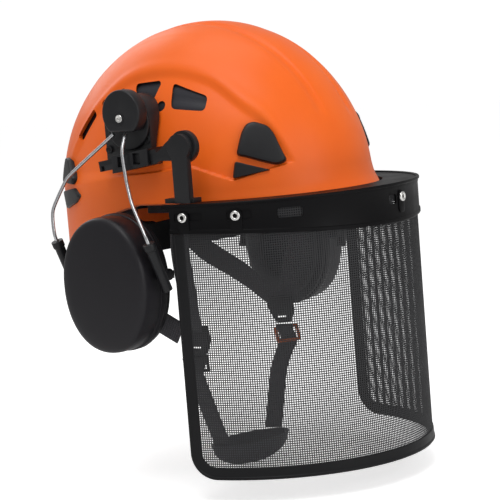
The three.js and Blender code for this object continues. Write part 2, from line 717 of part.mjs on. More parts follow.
// An open rectangular loop that a strap passes through.
function strapLoop({ y, z }) {
  const { inner, outer, halfWidth, halfHeight, bar, tilt } = LOOP;
  const body = block([inner, outer], [-halfWidth, halfWidth], [-halfHeight, halfHeight]);
  const [openWidth, openHeight] = [halfWidth - bar, halfHeight - bar];
  const hole = block([inner - 1, outer + 1], [-openWidth, openWidth], [-openHeight, openHeight]);
  return cut(body, hole).rotateX(-degrees(tilt)).translate(0, y, z);
}

function chinCup() {
  const { y, rimZ, depth, halfWidth, halfDepth, wall, tilt } = CHIN;
  const arc = (radius, drop, from, to) => {
    const points = [];
    for (let i = 0; i <= 5; i += 1) {
      const turn = THREE.MathUtils.lerp(from, to, i / 5);
      points.push([radius * Math.cos(turn), drop * Math.sin(turn)]);
    }
    return points;
  };
  const outer = arc(halfWidth, depth, -Math.PI / 2, 0);
  const inner = arc(halfWidth - wall, depth - wall, 0, -Math.PI / 2);
  const bowl = turned([...outer, ...inner].map(([r, h]) => [Math.abs(r) < 1e-6 ? 0 : r, h]), 28);
  bowl.rotateX(Math.PI / 2);
  bowl.scale(1, halfDepth / halfWidth, 1);
  return bowl.rotateY(degrees(tilt)).translate(0, y, rimZ);
}

// ---------- assembly ----------

const helmet = new THREE.Group();
const LOOP_LOOKS = { L: ['chin_buckle', BUCKLE_ORANGE], R: ['strap_slider', BLACK_PLASTIC] };

function add(name, geometry, look, parent = helmet) {
  const bare = geometry.index ? geometry.toNonIndexed() : geometry.clone();
  bare.deleteAttribute('normal');
  bare.computeVertexNormals();
  const mesh = new THREE.Mesh(bare, look);
  mesh.name = name;
  parent.add(mesh);
}

add('helmet_shell', helmetShell(), ORANGE);
add('visor_brim', visorBrim(), BLACK_PLASTIC);
add('visor_mesh', visorMesh(), MESH_NYLON);
add('visor_trim', visorTrim(), RUBBER);
const bandHalf = BAND.halfThickness;
add('headband', bandSweep(BAND.endDegrees, -bandHalf, bandHalf, BAND.halfHeight, 32), BLACK_PLASTIC);
add('sweatband', sweatband(), FOAM);
add('nape_housing', napeHousing(), BLACK_PLASTIC);
add('ratchet_knob', ratchetKnob(), BLACK_PLASTIC);
add('crown_strap_long', ribbon(CROWN_LONG, 22, STRAP.thickness, point(1, 0, 0), 22), WEBBING);
add('crown_strap_cross', ribbon(CROWN_CROSS, 22, STRAP.thickness, point(0, 1, 0), 22), WEBBING);
add('crown_pad', crownPad(), FOAM);
add('chin_cup', chinCup(), BLACK_PLASTIC);

for (const [label, direction] of [['L', 1], ['R', -1]]) {
  const side = new THREE.Group();
  side.scale.x = direction;
  helmet.add(side);
  const addSide = (name, geometry, look) => add(`${name}_${label}`, geometry, look, side);

  addSide('vent_panel', onSkin(VENT_PANEL, -SHELL.wall - 2.6, -SHELL.wall - 0.6), BLACK_PLASTIC);
  addSide('front_clip', skinClip(FRONT_CLIP), BLACK_PLASTIC);
  addSide('rear_clip', skinClip(REAR_CLIP), BLACK_PLASTIC);
  addSide('adapter', adapter(), BLACK_PLASTIC);
  addSide('hub_base', hubBase(), BLACK_PLASTIC);
  addSide('hub_cap', hubCap(), BLACK_PLASTIC);
  addSide('hub_screw', hubScrew(), STEEL);

  for (const [place, arm] of Object.entries(ARMS)) {
    addSide(`wire_${place}`, armWire(arm), STEEL);
    addSide(`slider_${place}`, slider(arm), BLACK_PLASTIC);
  }
  addSide('ear_cup', earCup(), CUP_PLASTIC);
  addSide('cup_ring', cupRing(), BLACK_PLASTIC);
  addSide('ear_cushion', earCushion(), SOFT_SKIN);
  addSide('ear_foam', earFoam(), FOAM);

  addSide('visor_rail', visorRail(), BLACK_PLASTIC);
  addSide('visor_strip', visorStrip(), BLACK_PLASTIC);
  addSide('nape_rack', napeRack(direction), BLACK_PLASTIC);

  const straps = STRAPS[label];
  const forward = point(0, 1, 0);
  addSide('strap_front', ribbon(straps.front, STRAP.width, STRAP.thickness, forward), WEBBING);
  addSide('strap_rear', ribbon(straps.rear, STRAP.width, STRAP.thickness, point(0, 0.5, 1)), WEBBING);
  addSide('strap_divider', strapDivider(straps.divider), BLACK_PLASTIC);
  addSide('strap_lower', ribbon(straps.lower, STRAP.width - 1, STRAP.thickness, forward, 28), WEBBING);

  const [loopName, loopLook] = LOOP_LOOKS[label];
  add(loopName, strapLoop(straps.loop), loopLook, side);
}

export default helmet;
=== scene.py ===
import json
import math

import bmesh
import bpy
import numpy as np
from mathutils import Matrix, Vector


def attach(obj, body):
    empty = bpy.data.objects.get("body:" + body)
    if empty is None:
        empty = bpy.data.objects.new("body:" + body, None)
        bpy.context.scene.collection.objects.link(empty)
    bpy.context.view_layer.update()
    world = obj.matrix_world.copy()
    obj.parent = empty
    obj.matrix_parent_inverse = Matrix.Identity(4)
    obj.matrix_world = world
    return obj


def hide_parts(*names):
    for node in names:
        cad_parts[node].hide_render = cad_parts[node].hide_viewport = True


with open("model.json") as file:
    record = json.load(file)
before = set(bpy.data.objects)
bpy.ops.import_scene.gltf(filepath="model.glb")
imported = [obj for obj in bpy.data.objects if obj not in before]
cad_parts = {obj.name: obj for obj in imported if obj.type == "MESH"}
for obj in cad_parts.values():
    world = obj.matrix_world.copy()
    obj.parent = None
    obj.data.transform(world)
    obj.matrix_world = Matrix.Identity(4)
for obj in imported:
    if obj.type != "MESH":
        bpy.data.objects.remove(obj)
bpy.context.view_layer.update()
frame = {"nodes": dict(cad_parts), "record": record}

MM = 0.001
SIDES = (("R", -1), ("L", 1))
BODY_OF = {node: body for body, nodes in frame["record"]["behaviour"]["bodies"].items() for node in nodes}

# ---------- driving dimensions, in millimetres in the frame's axes ----------

SHELL_HALF_WIDTH = 103.5
SHELL_FRONT = 135.0
SHELL_REAR = 140.5
SHELL_HEIGHT = 134.0
SHELL_WALL = 3.0
LIP_FLARE = 6.5

VISOR_ARC_Y = -33.0
VISOR_HALF_WIDTH = 121.1
VISOR_DEPTH = 136.0
VISOR_END = math.radians(85.8)
VISOR_BOTTOM = -213.9
LIP_END = math.radians(88.2)
TRIM_TOP = -24.7
TRIM_WIDTH = 9.6
MESH_PITCH = 1.75
VISOR_MEAN_RADIUS = 128.0
MESH_WIRE = 0.74

HUB_Y, HUB_Z = 1.2, 64.3
CAP_FACE_X = 118.5
ADAPTER_FACE_X = 104.0
ADAPTER_SCREWS = ((25.0, 40.0), (-13.0, 46.5))
CUP_Y, CUP_Z = 14.5, -62.5
CUP_HALF_WIDTH, CUP_HALF_HEIGHT = 42.0, 54.0
CUP_RIM_X = 112.0
CUP_POWER = 2.12
CLIP_SINK = -2.2
CLIP_THICKNESS = {"main": 5.6, "wedge": 4.4}
YARN_PITCH = 0.0022
RIB_PITCH = 0.0019
HEADBAND_HALF_WIDTH = 81
HEADBAND_HALF_LENGTH = 101
HEADBAND_POWER = 2.5
TUBE_DOWN = (-0.336, -0.098, -0.936744)
ARMS = {
    "front": (
        ((112.5, 0.6, 52.4), (120.6, -1, 40), (122, -3.9, 17.6), (127, -11.6, -0.4)), (136, -31.8, -29.9)),
    "rear": (
        ((112.5, 12.5, 52.2), (120, 57.9, 19.8), (126.5, 69.5, -3.5), (127.5, 70, -10.3)), (128, 67.2, -28.6)),
}

VENTS = (
    ((-19.7, 87.8), (-51.4, 75.9), (-51.5, 64.7), (-23.3, 68.1)),
    ((17.5, 89), (-6.2, 90.2), (-8.6, 87.8), (-5.4, 74.6), (15.3, 81.9)),
    ((53.6, 75.8), (44.4, 81.4), (28.7, 86.9), (29, 74), (46, 65)),
    ((79.9, 49.6), (61, 71.7), (57.4, 66.4), (74.4, 45.7)),
)
ROUND_VENT = (-13.8, 70.7, 3.9)
ARCH = (
    (112, 14), (98, 24), (82, 42), (58.6, 70.4), (28, 92.6),
    (-12, 98.4), (-48.7, 90), (-78.5, 69), (-96, 54), (-116, 19),
)
LEDGE = ((-125, 28), (-116, 22.5), (-77.8, 11.5), (-45.9, 24.2), (-11, 20.6), (50, 17), (120, 10))
CLIP_SHAPES = {
    "front_clip": {
        "main": (
            (-81.3, 48.1), (-83.5, 53.6), (-88, 54.7), (-96.7, 50.8), (-101.3, 44.3), (-110.5, 22.6),
            (-105.1, 20.2), (-85.1, 28.6), (-79, 30.3),
        ),
        "wedge": ((-78.4, 26.1), (-101.9, 17.2), (-76.9, 12.7)),
    },
    "rear_clip": {
        "main": ((98.6, 33.3), (89.6, 31.7), (79, 15.2), (82.3, 11.1), (105, 12)),
        "wedge": ((110, 4.7), (80.3, 9), (70.6, 2.6), (79.9, -3.5), (102.2, -9.8)),
    },
}

# ---------- materials ----------


def new_material(name):
    material = bpy.data.materials.new(name)
    material.use_nodes = True
    tree = material.node_tree
    return material, tree.nodes, tree.links, tree.nodes["Principled BSDF"]


def noise_at(nodes, links, scale, detail, roughness=0.5):
    where = nodes.new("ShaderNodeTexCoord")
    noise = nodes.new("ShaderNodeTexNoise")
    noise.inputs["Scale"].default_value = scale
    noise.inputs["Detail"].default_value = detail
    noise.inputs["Roughness"].default_value = roughness
    links.new(where.outputs["Object"], noise.inputs["Vector"])
    return noise


def tint(nodes, links, shader, value, stops):
    """Drives the base colour from a value, through a ramp of (place, colour) stops."""
    ramp = nodes.new("ShaderNodeValToRGB")
    elements = ramp.color_ramp.elements
    while len(elements) < len(stops):
        elements.new(0.5)
    for element, (place, colour) in zip(elements, stops):
        element.position = place
        element.color = (*colour, 1.0)
    links.new(value, ramp.inputs["Fac"])
    links.new(ramp.outputs["Color"], shader.inputs["Base Color"])


def math_node(nodes, links, operation, *values):
    """A Math node's result; each value is a number or a socket to link."""
    node = nodes.new("ShaderNodeMath")
    node.operation = operation
    for socket, value in zip(node.inputs, values):
        if isinstance(value, (int, float)):
            socket.default_value = value
        else:
            links.new(value, socket)
    return node.outputs[0]


def mapped(nodes, links, value, low, high, from_low=0.0, from_high=1.0):
    """A value moved from one range to another."""
    node = nodes.new("ShaderNodeMapRange")
    limits = (("From Min", from_low), ("From Max", from_high), ("To Min", low), ("To Max", high))
    for socket, limit in limits:
        node.inputs[socket].default_value = limit
    links.new(value, node.inputs["Value"])
    return node.outputs["Result"]


def shaded(colour, factor):
    return tuple(min(1.0, channel * factor) for channel in colour)


def add_bump(nodes, links, shader, height, strength, distance, below=None):
    bump = nodes.new("ShaderNodeBump")
    bump.inputs["Strength"].default_value = strength
    bump.inputs["Distance"].default_value = distance
    links.new(height, bump.inputs["Height"])
    if below is not None:
        links.new(below, bump.inputs["Normal"])
    links.new(bump.outputs["Normal"], shader.inputs["Normal"])
    return bump.outputs["Normal"]


def moulded_plastic(name, colour, roughness, grain_scale, grain, variation=0.12, coat=0.0, specular=0.3):
    """Injection-moulded plastic: a fine grain, soft sink variation and faint scuffs."""
    material, nodes, links, shader = new_material(name)
    patches = noise_at(nodes, links, 14.0, 4.0)
    tint(nodes, links, shader, patches.outputs["Fac"], (
        (0.3, shaded(colour, 1 - variation)), (0.7, shaded(colour, 1 + variation))))
    scuffs = noise_at(nodes, links, 55.0, 6.0, 0.65)
    rough = mapped(nodes, links, scuffs.outputs["Fac"], roughness - 0.05, roughness + 0.09, 0.35, 0.75)
    links.new(rough, shader.inputs["Roughness"])
    grains = noise_at(nodes, links, grain_scale, 2.0)
    add_bump(nodes, links, shader, grains.outputs["Fac"], grain, 0.0004)
    shader.inputs["Coat Weight"].default_value = coat
    shader.inputs["Specular IOR Level"].default_value = specular
    shader.inputs["Coat Roughness"].default_value = 0.2
    return material


def shell_orange():
    """The shell's satin orange: a slightly mottled pigment under a soft clear skin."""
    material, nodes, links, shader = new_material("shell_orange")
    colour = (0.9, 0.142, 0.011)
    clouds = noise_at(nodes, links, 9.0, 5.0, 0.55)
    tint(nodes, links, shader, clouds.outputs["Fac"], (
        (0.25, (0.85, 0.13, 0.011)), (0.5, colour), (0.78, (0.93, 0.172, 0.02))))
    scuffs = noise_at(nodes, links, 42.0, 8.0, 0.7)
    rough = mapped(nodes, links, scuffs.outputs["Fac"], 0.36, 0.47, 0.35, 0.72)
    links.new(rough, shader.inputs["Roughness"])
    peel = noise_at(nodes, links, 260.0, 2.0)
    soft = add_bump(nodes, links, shader, peel.outputs["Fac"], 0.05, 0.0006)
    grains = noise_at(nodes, links, 1500.0, 1.0)
    add_bump(nodes, links, shader, grains.outputs["Fac"], 0.05, 0.0002, soft)
    shader.inputs["Subsurface Weight"].default_value = 0.06
    shader.inputs["Subsurface Radius"].default_value = (0.004, 0.0015, 0.0005)
    shader.inputs["Specular IOR Level"].default_value = 0.24
    shader.inputs["Coat Weight"].default_value = 0.05
    shader.inputs["Coat Roughness"].default_value = 0.28
    return material


def bright_steel(name, colour=(0.5, 0.5, 0.51), roughness=0.26):
    """Drawn steel: fine streaks in the roughness and a faint surface ripple."""
    material, nodes, links, shader = new_material(name)
    shader.inputs["Metallic"].default_value = 1.0
    streaks = noise_at(nodes, links, 420.0, 6.0, 0.7)
    tint(nodes, links, shader, streaks.outputs["Fac"], (
        (0.3, shaded(colour, 0.82)), (0.7, shaded(colour, 1.15))))
    rough = mapped(nodes, links, streaks.outputs["Fac"], roughness - 0.08, roughness + 0.14)
    links.new(rough, shader.inputs["Roughness"])
    add_bump(nodes, links, shader, streaks.outputs["Fac"], 0.06, 0.0002)
    return material


def webbing_weave(name, colour):
    """Woven strap: crosswise ribs and lengthwise yarns, from the strap's own length and width."""
    material, nodes, links, shader = new_material(name)
    strap = nodes.new("ShaderNodeUVMap")
    strap.uv_map = "strap"
    parts = nodes.new("ShaderNodeSeparateXYZ")
    links.new(strap.outputs["UV"], parts.inputs["Vector"])

    def ripple(value, pitch, shift=None):
        turns = math_node(nodes, links, "MULTIPLY", value, 2 * math.pi / pitch)
        if shift is not None:
            turns = math_node(nodes, links, "ADD", turns, shift)
        return math_node(nodes, links, "SINE", turns)

    yarns = ripple(parts.outputs["X"], YARN_PITCH)
    lean = math_node(nodes, links, "MULTIPLY", yarns, 1.6)
    ribs = ripple(parts.outputs["Y"], RIB_PITCH, lean)
    weave = math_node(nodes, links, "MULTIPLY", yarns, ribs)
    height = math_node(nodes, links, "ADD", weave, ribs)
    fuzz = noise_at(nodes, links, 700.0, 4.0, 0.7)
    level = mapped(nodes, links, height, 0.0, 1.0, -1.6, 1.6)
    mixed = math_node(nodes, links, "MULTIPLY_ADD", fuzz.outputs["Fac"], 0.35, level)
    # The colour follows the weave's height: painted shade in its hollows and painted highlight on its crowns,
    # with random fuzz in the tone.
    tint(nodes, links, shader, mixed, (
        (0.15, shaded(colour, 0.45)), (0.6, colour), (1.0, shaded(colour, 1.7))))
    shader.inputs["Roughness"].default_value = 0.82
    shader.inputs["Sheen Weight"].default_value = 0.35
    shader.inputs["Sheen Roughness"].default_value = 0.5
    add_bump(nodes, links, shader, mixed, 0.55, 0.0004)
    return material


def foam_cloth(name, colour, scale):
    """Brushed cloth over foam: a fine open nap."""
    material, nodes, links, shader = new_material(name)
    nap = noise_at(nodes, links, scale, 5.0, 0.75)
    pores = nodes.new("ShaderNodeTexVoronoi")
    pores.inputs["Scale"].default_value = scale * 0.45
    where = nodes.new("ShaderNodeTexCoord")
    links.new(where.outputs["Object"], pores.inputs["Vector"])
    mixed = math_node(nodes, links, "ADD", nap.outputs["Fac"], pores.outputs["Distance"])
    # The colour follows the nap and the pores: random tone from the nap, painted shade in the pores where the
    # surface dips, and painted highlight on the raised walls.
    tint(nodes, links, shader, mixed, (
        (0.35, shaded(colour, 0.5)), (0.8, colour), (1.2, shaded(colour, 1.6))))
    shader.inputs["Roughness"].default_value = 0.92
    shader.inputs["Sheen Weight"].default_value = 0.4
    add_bump(nodes, links, shader, mixed, 0.5, 0.0005)
    return material


def soft_skin(name, colour):
    """Thin PVC skin over foam: fine leather-like creases."""
    material, nodes, links, shader = new_material(name)
    cells = nodes.new("ShaderNodeTexVoronoi")
    cells.feature = "DISTANCE_TO_EDGE"
    cells.inputs["Scale"].default_value = 620.0
    where = nodes.new("ShaderNodeTexCoord")
    links.new(where.outputs["Object"], cells.inputs["Vector"])
    folds = noise_at(nodes, links, 90.0, 5.0, 0.6)
    tint(nodes, links, shader, folds.outputs["Fac"], (
        (0.3, shaded(colour, 0.75)), (0.7, shaded(colour, 1.35))))
    shader.inputs["Roughness"].default_value = 0.5
    shader.inputs["Coat Weight"].default_value = 0.08
    first = add_bump(nodes, links, shader, folds.outputs["Fac"], 0.25, 0.001)
    add_bump(nodes, links, shader, cells.outputs["Distance"], 0.25, 0.0003, first)
    return material


ORANGE = shell_orange()
BLACK = moulded_plastic("black_plastic", (0.010, 0.010, 0.0115), 0.42, 1100.0, 0.16)
BAND_BLACK = moulded_plastic("band_plastic", (0.0035, 0.0033, 0.0038), 0.42, 700.0, 0.1, specular=0.1)
CUP_BLACK = moulded_plastic("cup_plastic", (0.013, 0.012, 0.0145), 0.38, 1600.0, 0.08, 0.08, 0.03, 0.22)
PANEL_BLACK = moulded_plastic("panel_plastic", (0.022, 0.022, 0.028), 0.5, 800.0, 0.2)
EDGING_BLACK = moulded_plastic("edging_rubber", (0.007, 0.007, 0.008), 0.46, 500.0, 0.12, specular=0.2)
CHIN_GREY = moulded_plastic("chin_cup_plastic", (0.085, 0.085, 0.095), 0.5, 600.0, 0.2)
BUCKLE_ORANGE = moulded_plastic("buckle_orange", (0.85, 0.17, 0.025), 0.35, 1000.0, 0.1)
MESH_BLACK = moulded_plastic("mesh_coating", (0.03, 0.03, 0.032), 0.5, 900.0, 0.2)
STEEL = bright_steel("steel")
EYELET = bright_steel("eyelet_steel", (0.78, 0.77, 0.75), 0.2)
WEBBING = webbing_weave("webbing", (0.034, 0.032, 0.038))
FOAM = foam_cloth("foam_cloth", (0.03, 0.03, 0.034), 1300.0)
SKIN = soft_skin("cushion_skin", (0.02, 0.02, 0.022))

# ---------- mesh helpers ----------


def as_object(name, points, faces, material, body, nodes=(), slot=None, smooth=35.0):
    """A closed mesh from points in millimetres, riding on a body and standing for CAD nodes."""
    mesh = bpy.data.meshes.new(name)
    mesh.from_pydata((np.asarray(points, float) * MM).tolist(), [], [list(map(int, face)) for face in faces])
    mesh.validate()
    finish_mesh(mesh, smooth)
    return place(name, mesh, material, body, nodes, slot)


def finish_mesh(mesh, smooth):
    work = bmesh.new()
    work.from_mesh(mesh)
    bmesh.ops.recalc_face_normals(work, faces=work.faces)
    work.to_mesh(mesh)
    work.free()
    mesh.shade_smooth()
    mesh.set_sharp_from_angle(angle=math.radians(smooth))


def place(name, mesh, material, body, nodes, slot):
    mesh.materials.clear()
    mesh.materials.append(material)
    piece = bpy.data.objects.new(name, mesh)
    bpy.context.scene.collection.objects.link(piece)
    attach(piece, body)
    if nodes:
        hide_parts(*nodes)
    return piece


def bake_modifiers(piece, smooth):
    """Puts the result of the piece's modifiers into its mesh and removes them."""
    graph = bpy.context.evaluated_depsgraph_get()
    mesh = bpy.data.meshes.new_from_object(piece.evaluated_get(graph))
    piece.modifiers.clear()
    piece.data = mesh
    mesh.shade_smooth()
    mesh.set_sharp_from_angle(angle=math.radians(smooth))


def grid_faces(rows, columns, wrap_rows=False, wrap_columns=False):
    """Quads between neighbouring rows and columns of a grid stored row by row."""
    row = np.arange(rows if wrap_rows else rows - 1)
    column = np.arange(columns if wrap_columns else columns - 1)
    i, j = np.meshgrid(row, column, indexing="ij")
    below, beside = (i + 1) % rows, (j + 1) % columns
    quads = np.stack([
        i * columns + j, i * columns + beside, below * columns + beside, below * columns + j], -1)
    return quads.reshape(-1, 4).tolist()


def loft(name, rings, material, body, nodes=(), slot=None, smooth=35.0):
    """A solid through matching rings of points, capped at its two ends."""
    rings = np.asarray(rings, float)
    rows, columns = rings.shape[:2]
    faces = grid_faces(rows, columns, wrap_columns=True)
    faces.append(list(range(columns)))
    faces.append(list(range((rows - 1) * columns, rows * columns)))
    return as_object(name, rings.reshape(-1, 3), faces, material, body, nodes, slot, smooth)


def refine(node, material, bevel, segments, slot):
    """The CAD node's own shape with its edges rounded, standing in for the node."""
    mesh = frame["nodes"][node].data.copy()
    work = bmesh.new()
    work.from_mesh(mesh)
    bmesh.ops.remove_doubles(work, verts=work.verts, dist=2e-6)
    bmesh.ops.dissolve_limit(work, angle_limit=math.radians(0.6), verts=work.verts, edges=work.edges)
    work.to_mesh(mesh)
    work.free()
    for layer in list(mesh.uv_layers):
        mesh.uv_layers.remove(layer)
    piece = place(node + "_shaped", mesh, material, BODY_OF[node], (node,), slot)
    rounding = piece.modifiers.new("rounding", "BEVEL")
    rounding.width = bevel * MM
    rounding.segments = segments
    rounding.limit_method = "ANGLE"
    rounding.angle_limit = math.radians(32.0)
    rounding.use_clamp_overlap = True
    bake_modifiers(piece, 30.0)


def cut_away(piece, cutters, smooth):
    """Cuts closed shapes out of a piece and deletes them."""
    for cutter in cutters:
        step = piece.modifiers.new("cut", "BOOLEAN")
        step.operation = "DIFFERENCE"
        step.solver = "MANIFOLD"
        step.object = cutter
    bake_modifiers(piece, smooth)
    for cutter in cutters:
        bpy.data.objects.remove(cutter)


def loose_mesh(name, points, faces):
    mesh = bpy.data.meshes.new(name)
    mesh.from_pydata((np.asarray(points, float) * MM).tolist(), [], [list(map(int, face)) for face in faces])
    work = bmesh.new()
    work.from_mesh(mesh)
    bmesh.ops.recalc_face_normals(work, faces=work.faces)
    work.to_mesh(mesh)
    work.free()
    piece = bpy.data.objects.new(name, mesh)
    bpy.context.scene.collection.objects.link(piece)
    return piece


def prism(outline, low_x, high_x):
    """A closed prism along X from an outline in (y, z)."""
    count = len(outline)
    points = [(x, y, z) for x in (low_x, high_x) for y, z in outline]
    faces = [[i, (i + 1) % count, count + (i + 1) % count, count + i] for i in range(count)]
    faces.append(list(range(count)))
    faces.append(list(range(count, 2 * count)))
    return loose_mesh("cutter", points, faces)


def rounded(corners, radius, steps=5):
    """The outline of a polygon with its corners rounded by quadratic arcs."""
    corners = [np.array(corner, float) for corner in corners]
    count = len(corners)
    outline = []
    for i, corner in enumerate(corners):
        to_last = corners[i - 1] - corner
        to_next = corners[(i + 1) % count] - corner
        reach = min(radius, np.linalg.norm(to_last) * 0.45, np.linalg.norm(to_next) * 0.45)
        start = corner + to_last / np.linalg.norm(to_last) * reach
        end = corner + to_next / np.linalg.norm(to_next) * reach
        for step in range(steps + 1):
            t = step / steps
            outline.append((1 - t) ** 2 * start + 2 * t * (1 - t) * corner + t * t * end)
    return np.array(outline)


def evenly(outline, count):
    """A closed outline resampled to evenly spaced points."""
    closed = np.vstack([outline, outline[:1]])
    lengths = np.concatenate([[0], np.cumsum(np.linalg.norm(np.diff(closed, axis=0), axis=1))])
    wanted = np.linspace(0, lengths[-1], count, endpoint=False)
    return np.stack([np.interp(wanted, lengths, closed[:, k]) for k in range(2)], -1)


def smooth_line(points, steps):
    """A centripetal Catmull-Rom line through given points, evenly spaced."""
    points = np.asarray(points, float)
    ends = (2 * points[0] - points[1], 2 * points[-1] - points[-2])
    longer = np.vstack([ends[0], points, ends[1]])
    fine = []
    for p0, p1, p2, p3 in zip(longer, longer[1:], longer[2:], longer[3:]):
        t0 = 0.0
        t1 = t0 + np.sqrt(np.linalg.norm(p1 - p0))
        t2 = t1 + np.sqrt(np.linalg.norm(p2 - p1))
        t3 = t2 + np.sqrt(np.linalg.norm(p3 - p2))
        for t in np.linspace(t1, t2, 24, endpoint=False):
            a1 = (t1 - t) / (t1 - t0) * p0 + (t - t0) / (t1 - t0) * p1
            a2 = (t2 - t) / (t2 - t1) * p1 + (t - t1) / (t2 - t1) * p2
            a3 = (t3 - t) / (t3 - t2) * p2 + (t - t2) / (t3 - t2) * p3
            b1 = (t2 - t) / (t2 - t0) * a1 + (t - t0) / (t2 - t0) * a2
            b2 = (t3 - t) / (t3 - t1) * a2 + (t - t1) / (t3 - t1) * a3
            fine.append((t2 - t) / (t2 - t1) * b1 + (t - t1) / (t2 - t1) * b2)
    fine.append(points[-1])
    fine = np.array(fine)
    lengths = np.concatenate([[0], np.cumsum(np.linalg.norm(np.diff(fine, axis=0), axis=1))])
    wanted = np.linspace(0, lengths[-1], steps + 1)
    return np.stack([np.interp(wanted, lengths, fine[:, k]) for k in range(3)], -1)


def unit(vectors):
    vectors = np.asarray(vectors, float)
    return vectors / np.linalg.norm(vectors, axis=-1, keepdims=True)


def smoothstep(value, low, high):
    t = np.clip((value - low) / (high - low), 0, 1)
    return t * t * (3 - 2 * t)


def tube(name, points, radius, material, body, nodes, slot, steps):
    """A round rod along a line."""
    sides = 14
    line = smooth_line(points, steps)
    along = unit(np.gradient(line, axis=0))
    side = unit(np.cross(along, (1.0, 0.0, 0.0)))
    up = np.cross(side, along)
    turns = np.linspace(0, 2 * math.pi, sides, endpoint=False)
    rings = [centre + radius * (np.outer(np.cos(turns), s) + np.outer(np.sin(turns), u))
             for centre, s, u in zip(line, side, up)]
    return loft(name, rings, material, body, nodes, slot, 40.0)


def turned(name, profile, origin, axis, material, body, nodes=(), slot=None, segments=48, smooth=35.0):
    """A turned piece: profile points are (radius, distance along the axis)."""
    axis = Vector(axis).normalized()
    basis = axis.to_track_quat("Z", "Y").to_matrix()
    turns = np.linspace(0, 2 * math.pi, segments, endpoint=False)
    inner = [(r, h) for r, h in profile if r > 1e-6]
    points = [
        basis @ Vector((r * math.cos(t), r * math.sin(t), h)) + Vector(origin)
        for r, h in inner for t in turns]
    faces = grid_faces(len(inner), segments, wrap_rows=profile[0][0] > 1e-6, wrap_columns=True)
    if profile[0][0] <= 1e-6:
        faces.append(list(range(segments)))
        faces.append(list(range((len(inner) - 1) * segments, len(inner) * segments)))
    return as_object(name, [tuple(p) for p in points], faces, material, body, nodes, slot, smooth)


# ---------- the shell ----------


def dome_x(y, z, grow=0.0):
    """How far out the shell's skin is at (y, z) on the wearer's left side."""
    reach = np.where(np.asarray(y) < 0, SHELL_FRONT, SHELL_REAR) + grow
    level = np.maximum(np.asarray(z, float), 0) / (SHELL_HEIGHT + grow)
    inside = 1 - (np.asarray(y) / reach) ** 2 - level ** 2
    return (SHELL_HALF_WIDTH + grow) * np.sqrt(np.maximum(inside, 1e-4))


def dome_normal(x, y, z):
    reach = np.where(y < 0, SHELL_FRONT, SHELL_REAR)
    return unit(np.stack([
        x / SHELL_HALF_WIDTH ** 2, y / reach ** 2, np.maximum(z, 0) / SHELL_HEIGHT ** 2], -1))


def rim_height(y):
    front = -3.5 + 1.0 * (y / SHELL_FRONT) ** 2
    rear = np.maximum(-3.5 - 0.2 * y - 0.0016 * y * y, -47.0)
    return np.where(y < 0, front, rear)


def line_height(corners, y):
    """The height of a smooth line through (y, z) corners, at each y."""
    flat = smooth_line([(0.0, a, b) for a, b in corners], 160)[:, 1:]
    flat = flat[np.argsort(flat[:, 0])]
    return np.interp(y, flat[:, 0], flat[:, 1])


def shell_relief(x, y, z):
    """How far the skin stands out from the plain dome: the side recess, ledge, band and ribs."""
    side = np.abs(x)
    below_arch = line_height(ARCH, y) - z
    corners = np.array(LEDGE)
    above_ledge = z - np.interp(y, corners[:, 0], corners[:, 1])
    # The ledge is crisp at the front and fades towards the rear.
    soft = 0.8 + 7.0 * smoothstep(y, 0.0, 60.0)
    recess = smoothstep(below_arch, -1.0, 5.5) * smoothstep(above_ledge / soft, -0.5, 1.0)
    ends = smoothstep(y, -118.0, -104.0) * (1 - smoothstep(y, 70.0, 112.0))
    lateral = smoothstep(side, 40.0, 55.0)
    relief = -2.6 * recess * ends * lateral
    # A soft lip along the arch, just outside the recess.
    lip = np.exp(-((below_arch + 3.5) / 4.0) ** 2) * ends * lateral * smoothstep(z, 24.0, 40.0)
    relief += 0.7 * lip
    # The broad band along the middle, with a shallow channel on each side that closes at the front.
    front_fade = smoothstep(y, -122.0, -92.0)
    rear_fade = 1 - smoothstep(y, 96.0, 128.0)
    high = smoothstep(z, 30.0, 62.0)
    band_edge = 38.0 - 12.0 * smoothstep(-y, 20.0, 120.0)
    relief += 0.3 * (1 - smoothstep(side, band_edge - 3.0, band_edge + 3.0)) * high * rear_fade * front_fade
    crest_edge = 9.0 + 7.0 * smoothstep(-y, -40.0, 80.0)
    channel = smoothstep(side, crest_edge - 2.5, crest_edge + 1.0)
    channel = channel * (1 - smoothstep(side, crest_edge + 2.0, crest_edge + 11.0))
    relief -= 1.9 * channel * smoothstep(y, -124.0, -116.0) * rear_fade * high
    # The lower edge turns out slightly.
    relief += 0.8 * (1 - smoothstep(z - rim_height(y), 0.0, 7.0))
    return relief


def shell_surface(turns, low_shares, rises, grow, with_relief):
    """Rows of the shell's skin from its rim up: a straight wall below, then the dome."""
    angle = np.linspace(0, 2 * math.pi, turns, endpoint=False)
    forward = np.cos(angle)
    reach = np.where(forward > 0, SHELL_FRONT, SHELL_REAR) + grow
    width = SHELL_HALF_WIDTH + grow
    # The rim's height depends on how far back the wall is, so it is read at the widest level.
    low = rim_height(-(reach - grow) * forward)
    rows = []
    levels = [(0.0, low * (1 - share)) for share in low_shares]
    top = SHELL_HEIGHT + grow
    tilts = [rise * math.pi / 2 for rise in rises]
    levels += [(tilt, np.full(turns, top * math.sin(tilt))) for tilt in tilts]
    for rise, z in levels:
        x = width * math.cos(rise) * np.sin(angle)
        y = -reach * math.cos(rise) * forward
        flare = LIP_FLARE * (1 - np.clip((z + 2.5) / 18.0, 0, 1)) ** 2
        y = y - flare * np.clip(forward, 0, 1) ** 4
        if with_relief:
            normal = dome_normal(x, y, z + 1e-6)
            out = shell_relief(x, y, z)[:, None] * normal
            x, y, z = x + out[:, 0], y + out[:, 1], z + out[:, 2]
        rows.append(np.stack([x, y, z], -1))
    return np.array(rows)


